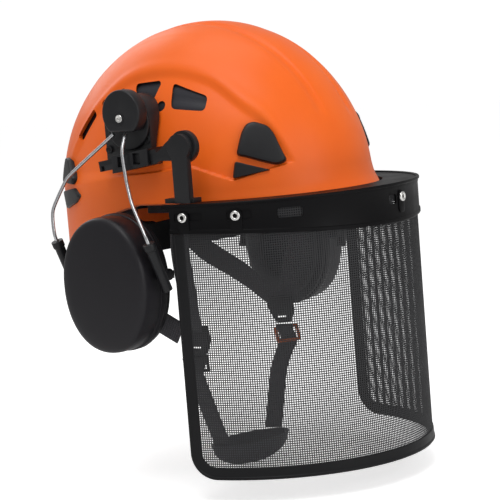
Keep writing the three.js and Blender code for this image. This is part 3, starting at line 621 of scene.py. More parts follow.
def build_shell():
    turns = 384
    low_shares = (0.0, 0.01, 0.025, 0.06, 0.12, 0.25, 0.45, 0.7)
    rises = np.concatenate([[0.0, 0.012, 0.024], np.linspace(0.036, 0.14, 46), np.linspace(0.147, 0.985, 98)])
    outer = shell_surface(turns, low_shares, rises, 0.0, True)
    inner = shell_surface(turns, low_shares[::2], np.linspace(0.0, 0.985, 24), -SHELL_WALL, False)[::-1]
    lip = (outer[0] + inner[-1]) / 2
    lip[:, 2] -= 1.1
    rows = np.concatenate([outer, inner, lip[None]])
    count = len(rows)
    # The outer and inner skins meet at the rim only: each apex has its own cap.
    faces = grid_faces(count, turns, wrap_columns=True)
    faces = [face for face in faces if face[0] // turns != len(outer) - 1]
    points = rows.reshape(-1, 3).tolist()
    apexes = ((len(outer) - 1, SHELL_HEIGHT + 0.3), (len(outer), SHELL_HEIGHT - SHELL_WALL))
    for row, height in apexes:
        points.append([0.0, rows[row][:, 1].mean(), height])
        faces.extend([row * turns + i, row * turns + (i + 1) % turns, len(points) - 1] for i in range(turns))
    last = (count - 1) * turns
    faces.extend([last + i, last + (i + 1) % turns, (i + 1) % turns, i] for i in range(turns))
    shell = as_object("shell", points, faces, ORANGE, "helmet", ("helmet_shell",), "shell_orange", 42.0)
    cutters = []
    y, z, radius = ROUND_VENT
    around = np.linspace(0, 2 * math.pi, 32, endpoint=False)
    ring = [(y + radius * math.cos(turn), z + radius * math.sin(turn)) for turn in around]
    for _, sign in SIDES:
        for outline in (*(rounded(corners, 4.0) for corners in VENTS), ring):
            cutters.append(prism(outline, *sorted((sign * 30, sign * 130))))
    cut_away(shell, cutters, 42.0)


def build_shade_sheet():
    """A thin dark sheet on the inner skin of the lower shell: painted shade for what shows under the rim."""
    turns = 240
    rises = np.linspace(0.0, 0.2, 8)
    layers = [shell_surface(turns, (0.96, 0.5), rises, grow, False) for grow in (-3.3, -4.4)]
    rows = np.concatenate([layers[0], layers[1][::-1]])
    points = rows.reshape(-1, 3)
    faces = grid_faces(len(rows), turns, wrap_rows=True, wrap_columns=True)
    as_object("shell_shade_sheet", points, faces, PANEL_BLACK, "helmet", (), "black_plastic", 50.0)


def skin_button(name, corners, sign, thickness, node, corner_radius):
    """A rounded pad that follows the shell's skin, thick in the middle and rolled over at its edge."""
    outline = evenly(rounded(corners, corner_radius), 72)
    centre = outline.mean(0)
    shares = np.array([0.25, 0.5, 0.7, 0.82, 0.9, 0.95, 0.98, 1.0])
    rings = []
    for share in shares:
        flat = centre + (outline - centre) * share
        drop = max(0.0, (share - 0.86) / 0.14)
        rings.append((flat, CLIP_SINK + thickness * math.sqrt(max(0.0, 1 - drop ** 2))))
    rings.append((outline, CLIP_SINK - 3.2))
    points = []
    for flat, lift in rings:
        x = dome_x(flat[:, 0], flat[:, 1])
        normal = dome_normal(x, flat[:, 0], flat[:, 1])
        surface = np.stack([x, flat[:, 0], flat[:, 1]], -1) + normal * lift
        surface[:, 0] *= sign
        points.extend(surface.tolist())
    count = len(outline)
    faces = grid_faces(len(rings), count, wrap_columns=True)
    for start, lift in ((0, rings[0][1]), ((len(rings) - 1) * count, rings[-1][1])):
        x = dome_x(centre[0], centre[1])
        normal = dome_normal(np.array([x]), np.array([centre[0]]), np.array([centre[1]]))[0]
        middle = np.array([float(x), centre[0], centre[1]]) + normal * lift
        middle[0] *= sign
        points.append(middle.tolist())
        faces.extend([start + i, start + (i + 1) % count, len(points) - 1] for i in range(count))
    nodes = (node,) if node else ()
    as_object(name, points, faces, BLACK, "helmet", nodes, "black_plastic", 40.0)


def build_clips():
    for label, sign in SIDES:
        for kind, shapes in CLIP_SHAPES.items():
            for part, node, corner in (("main", f"{kind}_{label}", 3.0), ("wedge", None, 2.0)):
                skin_button(f"{kind}_{label}_{part}", shapes[part], sign, CLIP_THICKNESS[part], node, corner)


def build_vent_panels():
    """The black liner seen through the vents: a curved strip with raised ribs along it."""
    top = ((-64, 80), (-40, 90), (-22, 94.5), (26, 93.5), (60, 80), (86, 50))
    bottom = ((-64, 60), (-24, 62), (20, 66), (46, 54), (66, 42), (86, 38))
    across = np.linspace(0, 1, 15)
    y = np.linspace(-62, 84, 90)
    high, low = line_height(top, y), line_height(bottom, y)
    for label, sign in SIDES:
        layers = []
        for face in (0, 1):
            rows = []
            for share in across:
                z = low + (high - low) * share
                ribs = 0.35 * math.cos(share * 6 * math.pi) if face else 0.0
                grow = -SHELL_WALL - 3.0 + face * (1.8 + ribs) - 0.6
                x = dome_x(y, z)
                rows.append(np.stack([x, y, z], -1) + dome_normal(x, y, z) * grow)
            layers.append(np.array(rows))
        rings = []
        for j in range(len(y)):
            rings.append(np.concatenate([layers[0][:, j], layers[1][::-1, j]]))
        rings = np.array(rings)
        rings[:, :, 0] *= sign
        panel = (f"vent_panel_{label}",)
        loft(f"vent_liner_{label}", rings, PANEL_BLACK, "helmet", panel, "black_plastic", 50.0)


# ---------- the visor ----------


def visor_normal(angle):
    across, forward = VISOR_DEPTH * np.sin(angle), -VISOR_HALF_WIDTH * np.cos(angle)
    return unit(np.stack([across, forward, np.zeros_like(angle)], -1))


def visor_point(angle, offset, z):
    angle = np.asarray(angle, float)
    base = np.stack([
        VISOR_HALF_WIDTH * np.sin(angle),
        VISOR_ARC_Y - VISOR_DEPTH * np.cos(angle),
        np.broadcast_to(np.asarray(z, float), angle.shape)], -1)
    return base + visor_normal(angle) * np.asarray(offset, float)[..., None]


def shelf_reach(angle, gap=2.0):
    start = visor_point(angle, 0.0, 0.0)
    normal = visor_normal(np.asarray(angle, float))
    a, b = SHELL_HALF_WIDTH + gap, SHELL_FRONT + LIP_FLARE + gap
    along = (normal[0] / a) ** 2 + (normal[1] / b) ** 2
    mixed = start[0] * normal[0] / a ** 2 + start[1] * normal[1] / b ** 2
    rest = (start[0] / a) ** 2 + (start[1] / b) ** 2 - 1
    return (mixed - math.sqrt(mixed ** 2 - along * rest)) / along


def visor_block(low_angle, high_angle, offsets, heights, corner):
    """A rounded block that follows the band, used to cut slots and to make tabs."""
    per_degree = math.pi / 180 * VISOR_MEAN_RADIUS
    corners = ((low_angle * per_degree, heights[0]), (high_angle * per_degree, heights[0]),
               (high_angle * per_degree, heights[1]), (low_angle * per_degree, heights[1]))
    outline = rounded(corners, corner)
    angle = np.radians(outline[:, 0] / per_degree)
    rings = [visor_point(angle, np.full(len(angle), offset), outline[:, 1]) for offset in offsets]
    return np.array(rings)


def lip_top(angle):
    return -0.7 - 1.3 * math.sin(angle) ** 2


def visor_sweep(name, end, section_at, nodes):
    rings = []
    for angle in np.linspace(-end, end, 201):
        offsets, heights = np.array(section_at(angle)).T
        rings.append(visor_point(np.full(len(offsets), angle), offsets, heights))
    return loft(name, rings, BAND_BLACK, "visor", nodes, "black_plastic", 32.0)


def band_section(angle):
    """The shelf and the face band: a bead along the lower edge and a thin lip over the shell's edge."""
    bottom = -24.2 - 7.0 * math.cos(angle) ** 2
    shelf = lip_top(angle) - 1.2
    reach = shelf_reach(angle)
    return [
        (0.8, bottom + 0.4), (1.0, bottom), (2.3, bottom), (2.75, bottom + 0.5), (2.75, bottom + 2.6),
        (2.1, bottom + 3.2), (1.95, bottom + 3.8), (1.95, -6.0), (2.3, -5.2), (2.3, shelf - 0.6),
        (1.9, shelf), (-reach * 0.45, shelf), (-reach * 0.8, shelf), (-reach + 1.4, shelf + 0.5),
        (-reach + 0.3, shelf + 0.4), (-reach, shelf - 0.4), (-reach + 0.3, shelf - 1.7),
        (-reach + 1.0, shelf - 2.0), (-reach * 0.5, shelf - 2.0),
        (0.1, shelf - 2.0), (0.6, shelf - 2.6), (0.8, shelf - 3.4),
    ]


def lip_section(angle):
    top = lip_top(angle)
    return [
        (0.7, top - 1.9), (2.0, top - 2.6), (2.9, top - 2.5), (3.35, top - 2.0), (3.4, top - 0.7),
        (3.0, top - 0.1), (2.3, top + 0.05), (1.2, top - 0.15), (0.7, top - 0.7),
    ]


def build_brim():
    """The visor's carrier: the shelf, its lip and the deep front band, with moulded slots."""
    brim = visor_sweep("visor_brim_moulding", VISOR_END, band_section, ("visor_brim",))
    visor_sweep("visor_brim_lip", LIP_END, lip_section, ())
    cutters = []
    for low, high, heights, depth, corner in SLOTS:
        ring = visor_block(low, high, (depth, 5.0), heights, corner)
        count = ring.shape[1]
        faces = grid_faces(2, count, wrap_columns=True) + [list(range(count)), list(range(count, 2 * count))]
        cutters.append(loose_mesh("cutter", ring.reshape(-1, 3), faces))
    cut_away(brim, cutters, 32.0)


# Slots in the band: from and to in degrees, heights, how deep they reach, corner radius.
SLOTS = (
    (-49.5, -41.0, (-16.5, -9.0), 0.0, 2.4),
    (41.0, 49.5, (-16.5, -9.0), 0.0, 2.4),
    (-6.0, -1.6, (-17.0, -9.5), 0.0, 2.4),
    (-66.0, -57.8, (-15.5, -8.5), 1.3, 2.0),
    (57.8, 66.0, (-15.5, -8.5), 1.3, 2.0),
    (-84.0, -74.0, (-15.0, -9.0), 1.3, 2.0),
    (74.0, 84.0, (-15.0, -9.0), 1.3, 2.0),
)
EYELETS = (-80.7, -63.0, 1.6, 63.0, 80.7)


def build_eyelets():
    """Silver eyelets in the band, each over a round-ended tab."""
    for i, degrees in enumerate(EYELETS):
        angle = math.radians(degrees)
        normal = visor_normal(np.array(angle))
        origin = visor_point(angle, 0.0, -12.2)
        rings = visor_block(degrees - 2.0, degrees + 2.0, (1.4, 2.7, 3.1), (-24.5, -7.5), 4.0)
        inset = rings[2].mean(0) + (rings[2] - rings[2].mean(0)) * 0.86
        rings = np.array([rings[0], rings[1], inset])
        loft(f"visor_tab_{i}", rings, BAND_BLACK, "visor", (), "black_plastic", 40.0)
        profile = [
            (0.0, 2.7), (1.5, 2.7), (1.6, 3.2), (1.55, 3.8), (1.9, 4.5), (2.7, 4.75), (3.5, 4.4),
            (3.9, 3.6), (3.9, 3.0), (2.4, 2.2), (0.0, 2.2),
        ]
        turned(f"visor_eyelet_{i}", profile, origin, normal, EYELET, "visor", (), "steel", 32, 50.0)
        turned(f"visor_eyelet_back_{i}", [(0.0, -1.1), (3.0, -1.1), (3.4, -0.8), (3.4, 0.6), (0.0, 0.75)],
               origin, normal, EYELET, "visor", (), "steel", 24, 50.0)


def trim_route():
    """The edging's middle line as (angle, height): down one side, along the bottom and up."""
    half = TRIM_WIDTH / 2
    radius = 20.0 - half
    side = VISOR_END - half / VISOR_HALF_WIDTH
    low = VISOR_BOTTOM + half
    route = [(side, z) for z in np.linspace(TRIM_TOP, low + radius, 60, endpoint=False)]
    for turn in np.linspace(0, math.pi / 2, 18):
        angle = side - radius * (1 - math.cos(turn)) / VISOR_HALF_WIDTH
        route.append((angle, low + radius * (1 - math.sin(turn))))
    end = route[-1][0]
    route += [(angle, low) for angle in np.linspace(end, 0, 90)[1:]]
    route += [(-angle, z) for angle, z in route[-2::-1]]
    return np.array(route)


def build_trim():
    """The soft edging: a channel folded over the mesh, thicker at its rim, with a stitched inner lip."""
    route = trim_route()
    centre = visor_point(route[:, 0], np.zeros(len(route)), route[:, 1])
    along = unit(np.gradient(centre, axis=0))
    normal = visor_normal(route[:, 0])
    across = unit(np.cross(along, normal))
    half = TRIM_WIDTH / 2
    section = [
        (-half, -0.5), (-half + 0.5, -0.95), (-half + 1.6, -1.05), (0.0, -1.15), (half - 2.6, -1.2),
        (half - 2.2, -1.6), (half - 0.9, -1.75), (half, -0.9), (half, 0.9), (half - 0.9, 1.75),
        (half - 2.2, 1.6), (half - 2.6, 1.2),
        (0.0, 1.15), (-half + 1.6, 1.05), (-half + 0.5, 0.95), (-half, 0.5),
    ]
    inward = 1.0 if np.dot(across[0], visor_point(0.0, 0.0, 0.0) - centre[0]) < 0 else -1.0
    rings = [c + np.outer([w * inward for w, _ in section], a) + np.outer([t for _, t in section], n)
             for c, a, n in zip(centre, across, normal)]
    loft("visor_edging", rings, EDGING_BLACK, "visor", ("visor_trim",), "visor_edging", 32.0)


def build_mesh():
    """The woven visor mesh as real wires, vertical and horizontal, meeting in the sheet's middle."""
    half = MESH_WIRE / 2
    thin = 0.14
    end = VISOR_END - (TRIM_WIDTH - 2.0) / VISOR_HALF_WIDTH
    low, high = VISOR_BOTTOM + TRIM_WIDTH - 2.5, -7.0
    corner = 11.0
    points, faces = [], []

    def add_wire(rings):
        start = len(points)
        rows, columns = rings.shape[:2]
        points.extend(rings.reshape(-1, 3).tolist())
        for face in grid_faces(rows, columns, wrap_columns=True):
            faces.append([start + k for k in face])
        faces.append([start + k for k in range(columns)])
        faces.append([start + (rows - 1) * columns + k for k in range(columns)])

    fine = np.linspace(-end, end, 4001)
    line = visor_point(fine, np.zeros_like(fine), 0.0)
    lengths = np.concatenate([[0], np.cumsum(np.linalg.norm(np.diff(line, axis=0), axis=1))])
    count = int(lengths[-1] / MESH_PITCH)
    angles = np.interp(np.linspace(0, lengths[-1], count + 1), lengths, fine)
    for angle in angles:
        to_edge = (end - abs(angle)) * VISOR_HALF_WIDTH
        lift = corner - math.sqrt(max(corner ** 2 - max(corner - to_edge, 0) ** 2, 0))
        width = half / VISOR_MEAN_RADIUS
        four = np.array([angle - width, angle + width, angle + width, angle - width])
        depth = np.array([-thin, -thin, thin, thin]) + 0.1
        add_wire(np.array([visor_point(four, depth, np.full(4, z)) for z in (low + lift, high)]))
    for z in np.arange(low + MESH_PITCH, high, MESH_PITCH):
        rise = z - low
        lift = corner - math.sqrt(max(corner ** 2 - max(corner - rise, 0) ** 2, 0))
        reach = end - lift / VISOR_HALF_WIDTH
        heights = np.array([z - half, z + half, z + half, z - half])
        depth = np.array([-thin, -thin, thin, thin]) - 0.1
        rings = [visor_point(np.full(4, angle), depth, heights) for angle in np.linspace(-reach, reach, 56)]
        add_wire(np.array(rings))
    as_object("visor_mesh_woven", points, faces, MESH_BLACK, "visor", ("visor_mesh",), "visor_mesh", 30.0)


# ---------- muff arms and cups ----------


def bent_line(corners, bend):
    """Straight runs between corners, each corner eased over a short length on both sides."""
    corners = [np.array(corner, float) for corner in corners]
    line = [corners[0]]
    for before, corner, after in zip(corners, corners[1:], corners[2:]):
        line += [corner + unit(before - corner) * bend, corner + unit(after - corner) * bend]
    return [*line, corners[-1]]


def build_wires():
    for label, sign in SIDES:
        for which, (corners, tube_top) in ARMS.items():
            in_tube = [np.array(tube_top) + np.array(TUBE_DOWN) * distance for distance in (-4.5, 24.0)]
            route = np.array(bent_line([*corners, *in_tube], 2.0)) * (sign, 1, 1)
            node = f"wire_{which}_{label}"
            tube(f"arm_{node}", route, 1.4, STEEL, BODY_OF[node], (node,), "steel", steps=150)


def cup_surface(profile, sign, segments, half_width=CUP_HALF_WIDTH, half_height=CUP_HALF_HEIGHT):
    """Rings of points with the cup's outline; profile is (share of the outline, x from the rim)."""
    turns = np.linspace(0, 2 * math.pi, segments, endpoint=False)
    c, s = np.cos(turns), np.sin(turns)
    size = (np.abs(c) ** CUP_POWER + np.abs(s) ** CUP_POWER) ** (-1 / CUP_POWER)
    rings = []
    for share, out in profile:
        rings.append(np.stack([
            np.full(segments, sign * (CUP_RIM_X + out)),
            CUP_Y + half_width * share * c * size,
            CUP_Z + half_height * share * s * size], -1))
    return np.array(rings)


def cup_piece(name, profile, sign, material, node, slot, segments=120, smooth=38.0, shape=None, **sizes):
    """A solid with the cup's outline. A profile that starts on the middle line is closed by a cap there."""
    rings = cup_surface([p for p in profile if p[0] > 1e-6], sign, segments, **sizes)
    if shape is not None:
        rings = shape(rings)
    rows = len(rings)
    open_middle = profile[0][0] > 1e-6
    faces = grid_faces(rows, segments, wrap_rows=open_middle, wrap_columns=True)
    points = rings.reshape(-1, 3).tolist()
    if not open_middle:
        for start, out in ((0, profile[0][1]), ((rows - 1) * segments, profile[-1][1])):
            points.append([sign * (CUP_RIM_X + out), CUP_Y, CUP_Z])
            faces.extend([start + i, start + (i + 1) % segments, len(points) - 1] for i in range(segments))
    return as_object(name, points, faces, material, BODY_OF[node], (node,), slot, smooth)


def eased(profile):
    """A smoother profile: a Catmull-Rom line through its points."""
    line = smooth_line([(r, 0.0, h) for r, h in profile], len(profile) * 4)
    return [(max(r, 0.0), h) for r, _, h in line]


def build_cups():
    for label, sign in SIDES:
        outside = eased([
            (0.06, 30.65), (0.35, 30.5), (0.65, 30.1), (0.8, 29.5), (0.885, 28.6), (0.935, 27.2),
            (0.965, 25.0), (0.978, 21.5), (0.982, 16.0), (0.98, 10.5), (0.98, 7.9),
        ])
        flange = [
            (0.99, 7.2), (0.998, 6.8), (1.0, 6.0), (1.0, 4.2), (0.994, 3.9), (0.994, 3.4), (1.0, 3.1),
            (1.0, 0.6), (0.992, 0.0),
        ]
        inside = [
            (0.945, 0.0), (0.935, 0.6), (0.93, 8.0), (0.92, 16.0), (0.89, 21.5), (0.8, 25.6), (0.55, 27.7),
            (0.3, 28.1),
        ]
        profile = [(0.0, 30.7), *outside, *flange, *inside, (0.0, 28.2)]
        cup_piece(f"ear_cup_{label}_shell", profile, sign, CUP_BLACK, f"ear_cup_{label}", "cup_plastic", 144)
        ring = [
            (0.76, -4.4), (0.9, -4.6), (0.955, -4.5), (0.972, -4.1), (0.975, -3.2), (0.975, -1.2),
            (0.965, -0.6), (0.93, -0.45), (0.76, -0.45),
        ]
        cup_piece(f"cup_ring_{label}_plate", ring, sign, BLACK, f"cup_ring_{label}", "black_plastic", 112)
        build_cushion(label, sign)
        foam = [
            (0.0, 5.6), (0.5, 5.8), (0.74, 5.7), (0.82, 5.2), (0.85, 4.2), (0.85, 2.0), (0.82, 1.2),
            (0.6, 0.9), (0.0, 1.1),
        ]

        def dimpled(rings):
            y, z = rings[..., 1], rings[..., 2]
            face = np.abs(rings[..., 0]) < CUP_RIM_X + 2.5
            rings[..., 0] += sign * face * 0.45 * np.sin(y * 0.42) * np.sin(z * 0.42)
            return rings

        liner = cup_piece(
            f"ear_foam_{label}_liner", foam, sign, FOAM, f"ear_foam_{label}", "foam", 96, 60.0, dimpled)


def build_cushion(label, sign):
    """A skinned foam ring: plump towards the ear, pulled in at its welded seam, with soft creases."""
    depth = 6.0
    around = np.linspace(0, 2 * math.pi, 40, endpoint=False)
    profile = []
    middle, half = 0.79, 0.205
    for turn in around:
        c, s = math.cos(turn), math.sin(turn)
        radial = middle + half * np.sign(c) * abs(c) ** 0.8
        plump = depth / 2 * np.sign(s) * abs(s) ** 0.75
        seam = 0.35 * math.exp(-((s - 0.62) / 0.13) ** 2)
        profile.append((radial - math.copysign(seam * 0.012, c), -8.0 + plump))

    def creased(rings):
        rise, across = (rings[..., 2] - CUP_Z) / CUP_HALF_HEIGHT, (rings[..., 1] - CUP_Y) / CUP_HALF_WIDTH
        angle = np.arctan2(rise, across)
        fold = 0.16 * np.sin(angle * 34 + 1.7 * np.sin(angle * 5)) + 0.12 * np.sin(angle * 57 + 2.0)
        front = np.clip((-5.0 - (np.abs(rings[..., 0]) - CUP_RIM_X)) / 3.0, 0, 1)
        rings[..., 0] += sign * fold * front * 0.9
        return rings

    cushion = cup_piece(
        f"ear_cushion_{label}_ring", profile, sign, SKIN, f"ear_cushion_{label}", "cushion_skin", 168, 70.0,
        creased, half_width=37.0, half_height=46.0)


def build_mechanism():
    """The adapters, hubs, rails and strips: the CAD shapes with rounded edges, and their small hardware."""
    for label, sign in SIDES:
        refine(f"adapter_{label}", BLACK, 0.8, 2, slot="black_plastic")
        refine(f"hub_base_{label}", BLACK, 1.4, 3, slot="black_plastic")
        refine(f"hub_cap_{label}", BLACK, 0.5, 2, slot="black_plastic")
        refine(f"visor_rail_{label}", BLACK, 0.7, 2, slot="black_plastic")
        refine(f"visor_strip_{label}", BLACK, 0.9, 3, slot="black_plastic")
        for which in ("front", "rear"):
            refine(f"slider_{which}_{label}", BLACK, 0.4, 2, slot="black_plastic")
        refine(f"nape_rack_{label}", BLACK, 0.4, 1, slot="black_plastic")
        face = CAP_FACE_X
        screw = [
            (0.0, face - 1.1), (0.8, face - 1.1), (1.35, face - 0.9), (1.5, face), (2.1, face + 0.4),
            (2.9, face + 0.35), (3.3, face - 0.1), (3.3, face - 3.0), (2.0, face - 3.4),
            (2.0, face - 11.0), (0.0, face - 11.0),
        ]
        turned(f"hub_screw_{label}_head", screw, (0, HUB_Y, HUB_Z), (sign, 0, 0), EYELET, f"muff_hub_{label}",
               (f"hub_screw_{label}",), "steel", 32, 40.0)
        well = [(3.4, face - 0.8), (3.4, face + 0.25), (4.8, face + 0.3), (5.0, face - 0.1), (4.8, face - 0.8)]
        turned(f"hub_screw_{label}_well", well, (0, HUB_Y, HUB_Z), (sign, 0, 0), BLACK, f"muff_hub_{label}", (),
               "black_plastic", 36, 40.0)
        head = [
            (0.0, 0.1), (1.6, 0.1), (1.8, 0.5), (2.6, 0.9), (3.1, 0.8), (3.3, 0.2), (3.3, -1.0), (0.0, -1.0),
        ]
        seated = [(r, ADAPTER_FACE_X + h) for r, h in head]
        for k, (y, z) in enumerate(ADAPTER_SCREWS):
            turned(f"adapter_screw_{label}_{k}", seated, (0, y, z), (sign, 0, 0), BLACK, "helmet", (),
                   "black_plastic", 28, 40.0)


# ---------- harness ----------


def strap(name, points, width, thickness, width_direction, body, nodes, steps=80):
    """Webbing: a flat section with rolled edges, carrying its own length and width for the weave."""
    line = smooth_line(points, steps)
    along = unit(np.gradient(line, axis=0))
    face = unit(np.cross(along, np.asarray(width_direction, float)))
    across = np.cross(face, along)
    half, thick = width / 2, thickness / 2
    shares = np.linspace(-1, 1, 13)
    swell = 1 - 0.35 * np.abs(shares) ** 6
    upper = [(half * s, thick * w * (1 if abs(s) < 1 else 0.45)) for s, w in zip(shares, swell)]
    lower = [(half * s, -thick * w * (1 if abs(s) < 1 else 0.45)) for s, w in zip(shares[::-1], swell[::-1])]
    section = np.array(upper + lower)
    rings = np.array([
        c + np.outer(section[:, 0], a) + np.outer(section[:, 1], f)
        for c, a, f in zip(line, across, face)])
    piece = loft(name, rings, WEBBING, body, nodes, "webbing", 50.0)
    mesh = piece.data
    lengths = np.concatenate([[0], np.cumsum(np.linalg.norm(np.diff(line, axis=0), axis=1))])
    place_of = np.zeros((len(mesh.vertices), 2))
    count = len(section)
    for row in range(len(line)):
        place_of[row * count:(row + 1) * count, 0] = section[:, 0] * MM
        place_of[row * count:(row + 1) * count, 1] = lengths[row] * MM
    layer = mesh.uv_layers.new(name="strap")
    corners = np.zeros(len(mesh.loops), int)
    mesh.loops.foreach_get("vertex_index", corners)
    layer.data.foreach_set("uv", place_of[corners].ravel())
    return piece


CHIN_STRAPS = {
    "L": {
        "front": ((92, -30, -4), (86, -22, -42), (77, -12, -80), (72.9, -7, -108)),
        "rear": ((62, 90, -46), (74, 72, -66), (78, 42, -84), (76.4, 4, -108)),
        "lower": ((64.6, -9, -126.6), (64.8, -9.2, -130.5), (68, -9.2, -135.5), (71.3, -8, -141),
                  (70, -5, -148), (61.5, -2.4, -165), (51, -4, -190), (41.5, -6, -212)),
    },
    "R": {
        "front": ((92, -30, -4), (86, -22, -42), (77, -18.5, -80), (72.9, -17.5, -108)),
        "rear": ((62, 90, -46), (74, 72, -66), (78, 38, -86), (76.4, -8, -110)),
        "lower": ((64.6, -15.6, -127.4), (64.8, -15.2, -131.2), (68, -14.8, -136), (71, -14.6, -141.4),
                  (69, -14.6, -147), (61, -14.4, -165), (50, -14.2, -190), (40.5, -13.5, -208)),
    },
}
WIDTH_DIRECTION = {"front": (0, 1, 0), "rear": (0, 0.5, 1), "lower": (0, 1, 0)}


def build_chin_straps():
    for label, sign in SIDES:
        for part, route in CHIN_STRAPS[label].items():
            points = [(sign * x, y, z) for x, y, z in route]
            node = f"strap_{part}_{label}"
            width = 17.0 if part == "lower" else 18.0
            strap(node + "_webbing", points, width, 1.6, WIDTH_DIRECTION[part], "helmet", (node,))
        refine(f"strap_divider_{label}", BLACK, 0.9, 3, slot="black_plastic")
    refine("chin_buckle", BUCKLE_ORANGE, 1.1, 3, slot="buckle_orange")
    refine("strap_slider", BLACK, 1.0, 3, slot="black_plastic")


CHIN_CENTRE = (0.0, -12.0, -211.0)
CHIN_TILT = math.radians(3.5)


def build_chin_cup():
    """The chin cup: a soft boat-shaped bowl with drawn-out ends, a rolled rim and rows of small holes."""
    half_width, half_depth, depth, wall = 50.0, 20.0, 20.0, 2.0
    segments = 144
    turns = np.linspace(0, 2 * math.pi, segments, endpoint=False)
    c, s = np.cos(turns), np.sin(turns)
    # The ends are drawn out to points: the sides flatten towards them.
    s = s * np.abs(s) ** 0.25
    turn_over = Matrix.Rotation(CHIN_TILT, 3, "Y")

    def tilted(points):
        return np.asarray(points) @ np.array(turn_over).T + np.array(CHIN_CENTRE)

    def ring(share, fall, inset):
        x = (half_width - inset) * share * c
        y = (half_depth - inset) * share * s
        z = np.full(segments, -(depth - inset) * fall)
        return np.stack([x, y, z], -1)

    bends = np.linspace(0.06, 1.0, 16)
    falls = [math.sqrt(max(0.0, 1 - b ** 2.3)) for b in bends]
    rim = ring(1.0, 0.0, wall / 2)
    rim[:, 2] += 0.7
    rings = [ring(b, fall, 0.0) for b, fall in zip(bends, falls)]
    rings.append(rim)
    rings += [ring(b, fall, wall) for b, fall in zip(bends[::-1], falls[::-1])]
    points = tilted(np.array(rings).reshape(-1, 3)).tolist()
    faces = grid_faces(len(rings), segments, wrap_columns=True)
    for start, fall in ((0, -depth), ((len(rings) - 1) * segments, wall - depth)):
        points.append(tilted((0.0, 0.0, fall)).tolist())
        faces.extend([start + i, start + (i + 1) % segments, len(points) - 1] for i in range(segments))
    bowl = as_object(
        "chin_cup_bowl", points, faces, CHIN_GREY, "helmet", ("chin_cup",), "chin_cup_plastic", 40.0)
    holes = []
    around = np.linspace(0, 2 * math.pi, 16, endpoint=False)
    for x, y, z in CHIN_HOLES:
        direction = Vector((x * 0.25, y, -7)).normalized()
        side = direction.cross(Vector((1, 0, 0.2))).normalized()
        up = side.cross(direction)
        circle = [side * (1.6 * math.cos(turn)) + up * (1.6 * math.sin(turn)) for turn in around]
        centre = Vector((x, y, z))
        cutter = tilted([tuple(centre + direction * reach + p) for reach in (-7, 7) for p in circle])
        sides = grid_faces(2, 16, wrap_columns=True) + [list(range(16)), list(range(16, 32))]
        holes.append(loose_mesh("cutter", cutter, sides))
    cut_away(bowl, holes, 40.0)


CHIN_HOLES = tuple(
    (x, side * 15.0 * math.sqrt(1 - (x / 48.0) ** 2), -11.0)
    for side in (-1, 1) for x in (-26.0, -13.0, 0.0, 13.0, 26.0)
)


def band_point(angle, offset, z):
    s, c = math.sin(angle), math.cos(angle)
    size = (abs(s) ** HEADBAND_POWER + abs(c) ** HEADBAND_POWER) ** (-1 / HEADBAND_POWER)
    x, y = (HEADBAND_HALF_WIDTH + offset) * s * size, -(HEADBAND_HALF_LENGTH + offset) * c * size
    return np.array([x, y, z])


def band_rings(end, section, steps, height=lambda angle: 13 - 3 * abs(angle) / math.pi):
    rings = []
    for angle in np.linspace(-math.radians(end), math.radians(end), steps + 1):
        middle = -14 - 17 * (1 - math.cos(angle))
        half = height(angle)
        rings.append([band_point(angle, offset, middle + rise * half) for offset, rise in section])
    return rings


def build_harness():
    section = [
        (-1, -0.96), (-0.6, -1), (0.6, -1), (1, -0.96), (1, -0.6), (0.7, -0.52), (0.7, 0.52), (1, 0.6),
        (1, 0.96), (0.6, 1), (-0.6, 1), (-1, 0.96),
    ]
    rings = band_rings(150, section, 120)
    loft("headband_moulding", rings, BLACK, "helmet", ("headband",), "black_plastic", 35.0)
    pad_section = []
    for turn in np.linspace(0, 2 * math.pi, 22, endpoint=False):
        c, s = math.cos(turn), math.sin(turn)
        pad_section.append((-3.85 + 1.9 * np.sign(c) * abs(c) ** 0.7, 0.97 * np.sign(s) * abs(s) ** 0.5))
    rings = np.array(band_rings(58, pad_section, 150, lambda angle: 11.5))
    # Sewn channels: the pad narrows every few centimetres, where it is stitched.
    for row, ring in enumerate(rings):
        stitch = math.exp(-((row % 25 - 12.5) / 1.2) ** 2)
        centre = ring.mean(0)
        narrowing = np.array([1 - 0.45 * stitch, 1 - 0.45 * stitch, 1 - 0.03 * stitch])
        rings[row] = centre + (ring - centre) * narrowing
    pad = loft("sweatband_pad", rings, FOAM, "helmet", ("sweatband",), "foam", 60.0)
    refine("nape_housing", BLACK, 1.6, 3, slot="black_plastic")
    long_route = (
        (0, -97, 1), (0, -92, 40), (0, -68, 78), (0, -32, 99), (0, 0, 103),
        (0, 32, 99), (0, 68, 78), (0, 92, 40), (0, 97, 0), (0, 97, -31),
    )
    cross_route = (
        (-80.6, 0, -13), (-78, 0, 20), (-62, 0, 68), (-32, 0, 98), (0, 0, 105.8),
        (32, 0, 98), (62, 0, 68), (78, 0, 20), (80.6, 0, -13),
    )
    strap("crown_webbing_long", long_route, 22, 1.6, (1, 0, 0), "helmet", ("crown_strap_long",), 120)
    strap("crown_webbing_cross", cross_route, 22, 1.6, (0, 1, 0), "helmet", ("crown_strap_cross",), 120)
    build_crown_pad()
    build_knob()


def build_crown_pad():
    """The small pad under the crown straps, flat below and crowned above."""
    count = 64
    turns = np.linspace(0, 2 * math.pi, count, endpoint=False)
    c, s = np.cos(turns), np.sin(turns)
    size = (np.abs(c) ** 5 + np.abs(s) ** 5) ** (-1 / 5)
    rings = []
    profile = (
        (0.3, 95.0), (0.93, 95.0), (0.985, 95.5), (1.0, 96.8),
        (0.985, 98.2), (0.92, 99.0), (0.7, 99.35), (0.3, 99.5),
    )
    for share, z in profile:
        rings.append(np.stack([18 * share * c * size, 18 * share * s * size, np.full(count, z)], -1))
    pad = loft("crown_pad_foam", rings, FOAM, "helmet", ("crown_pad",), "foam", 45.0)


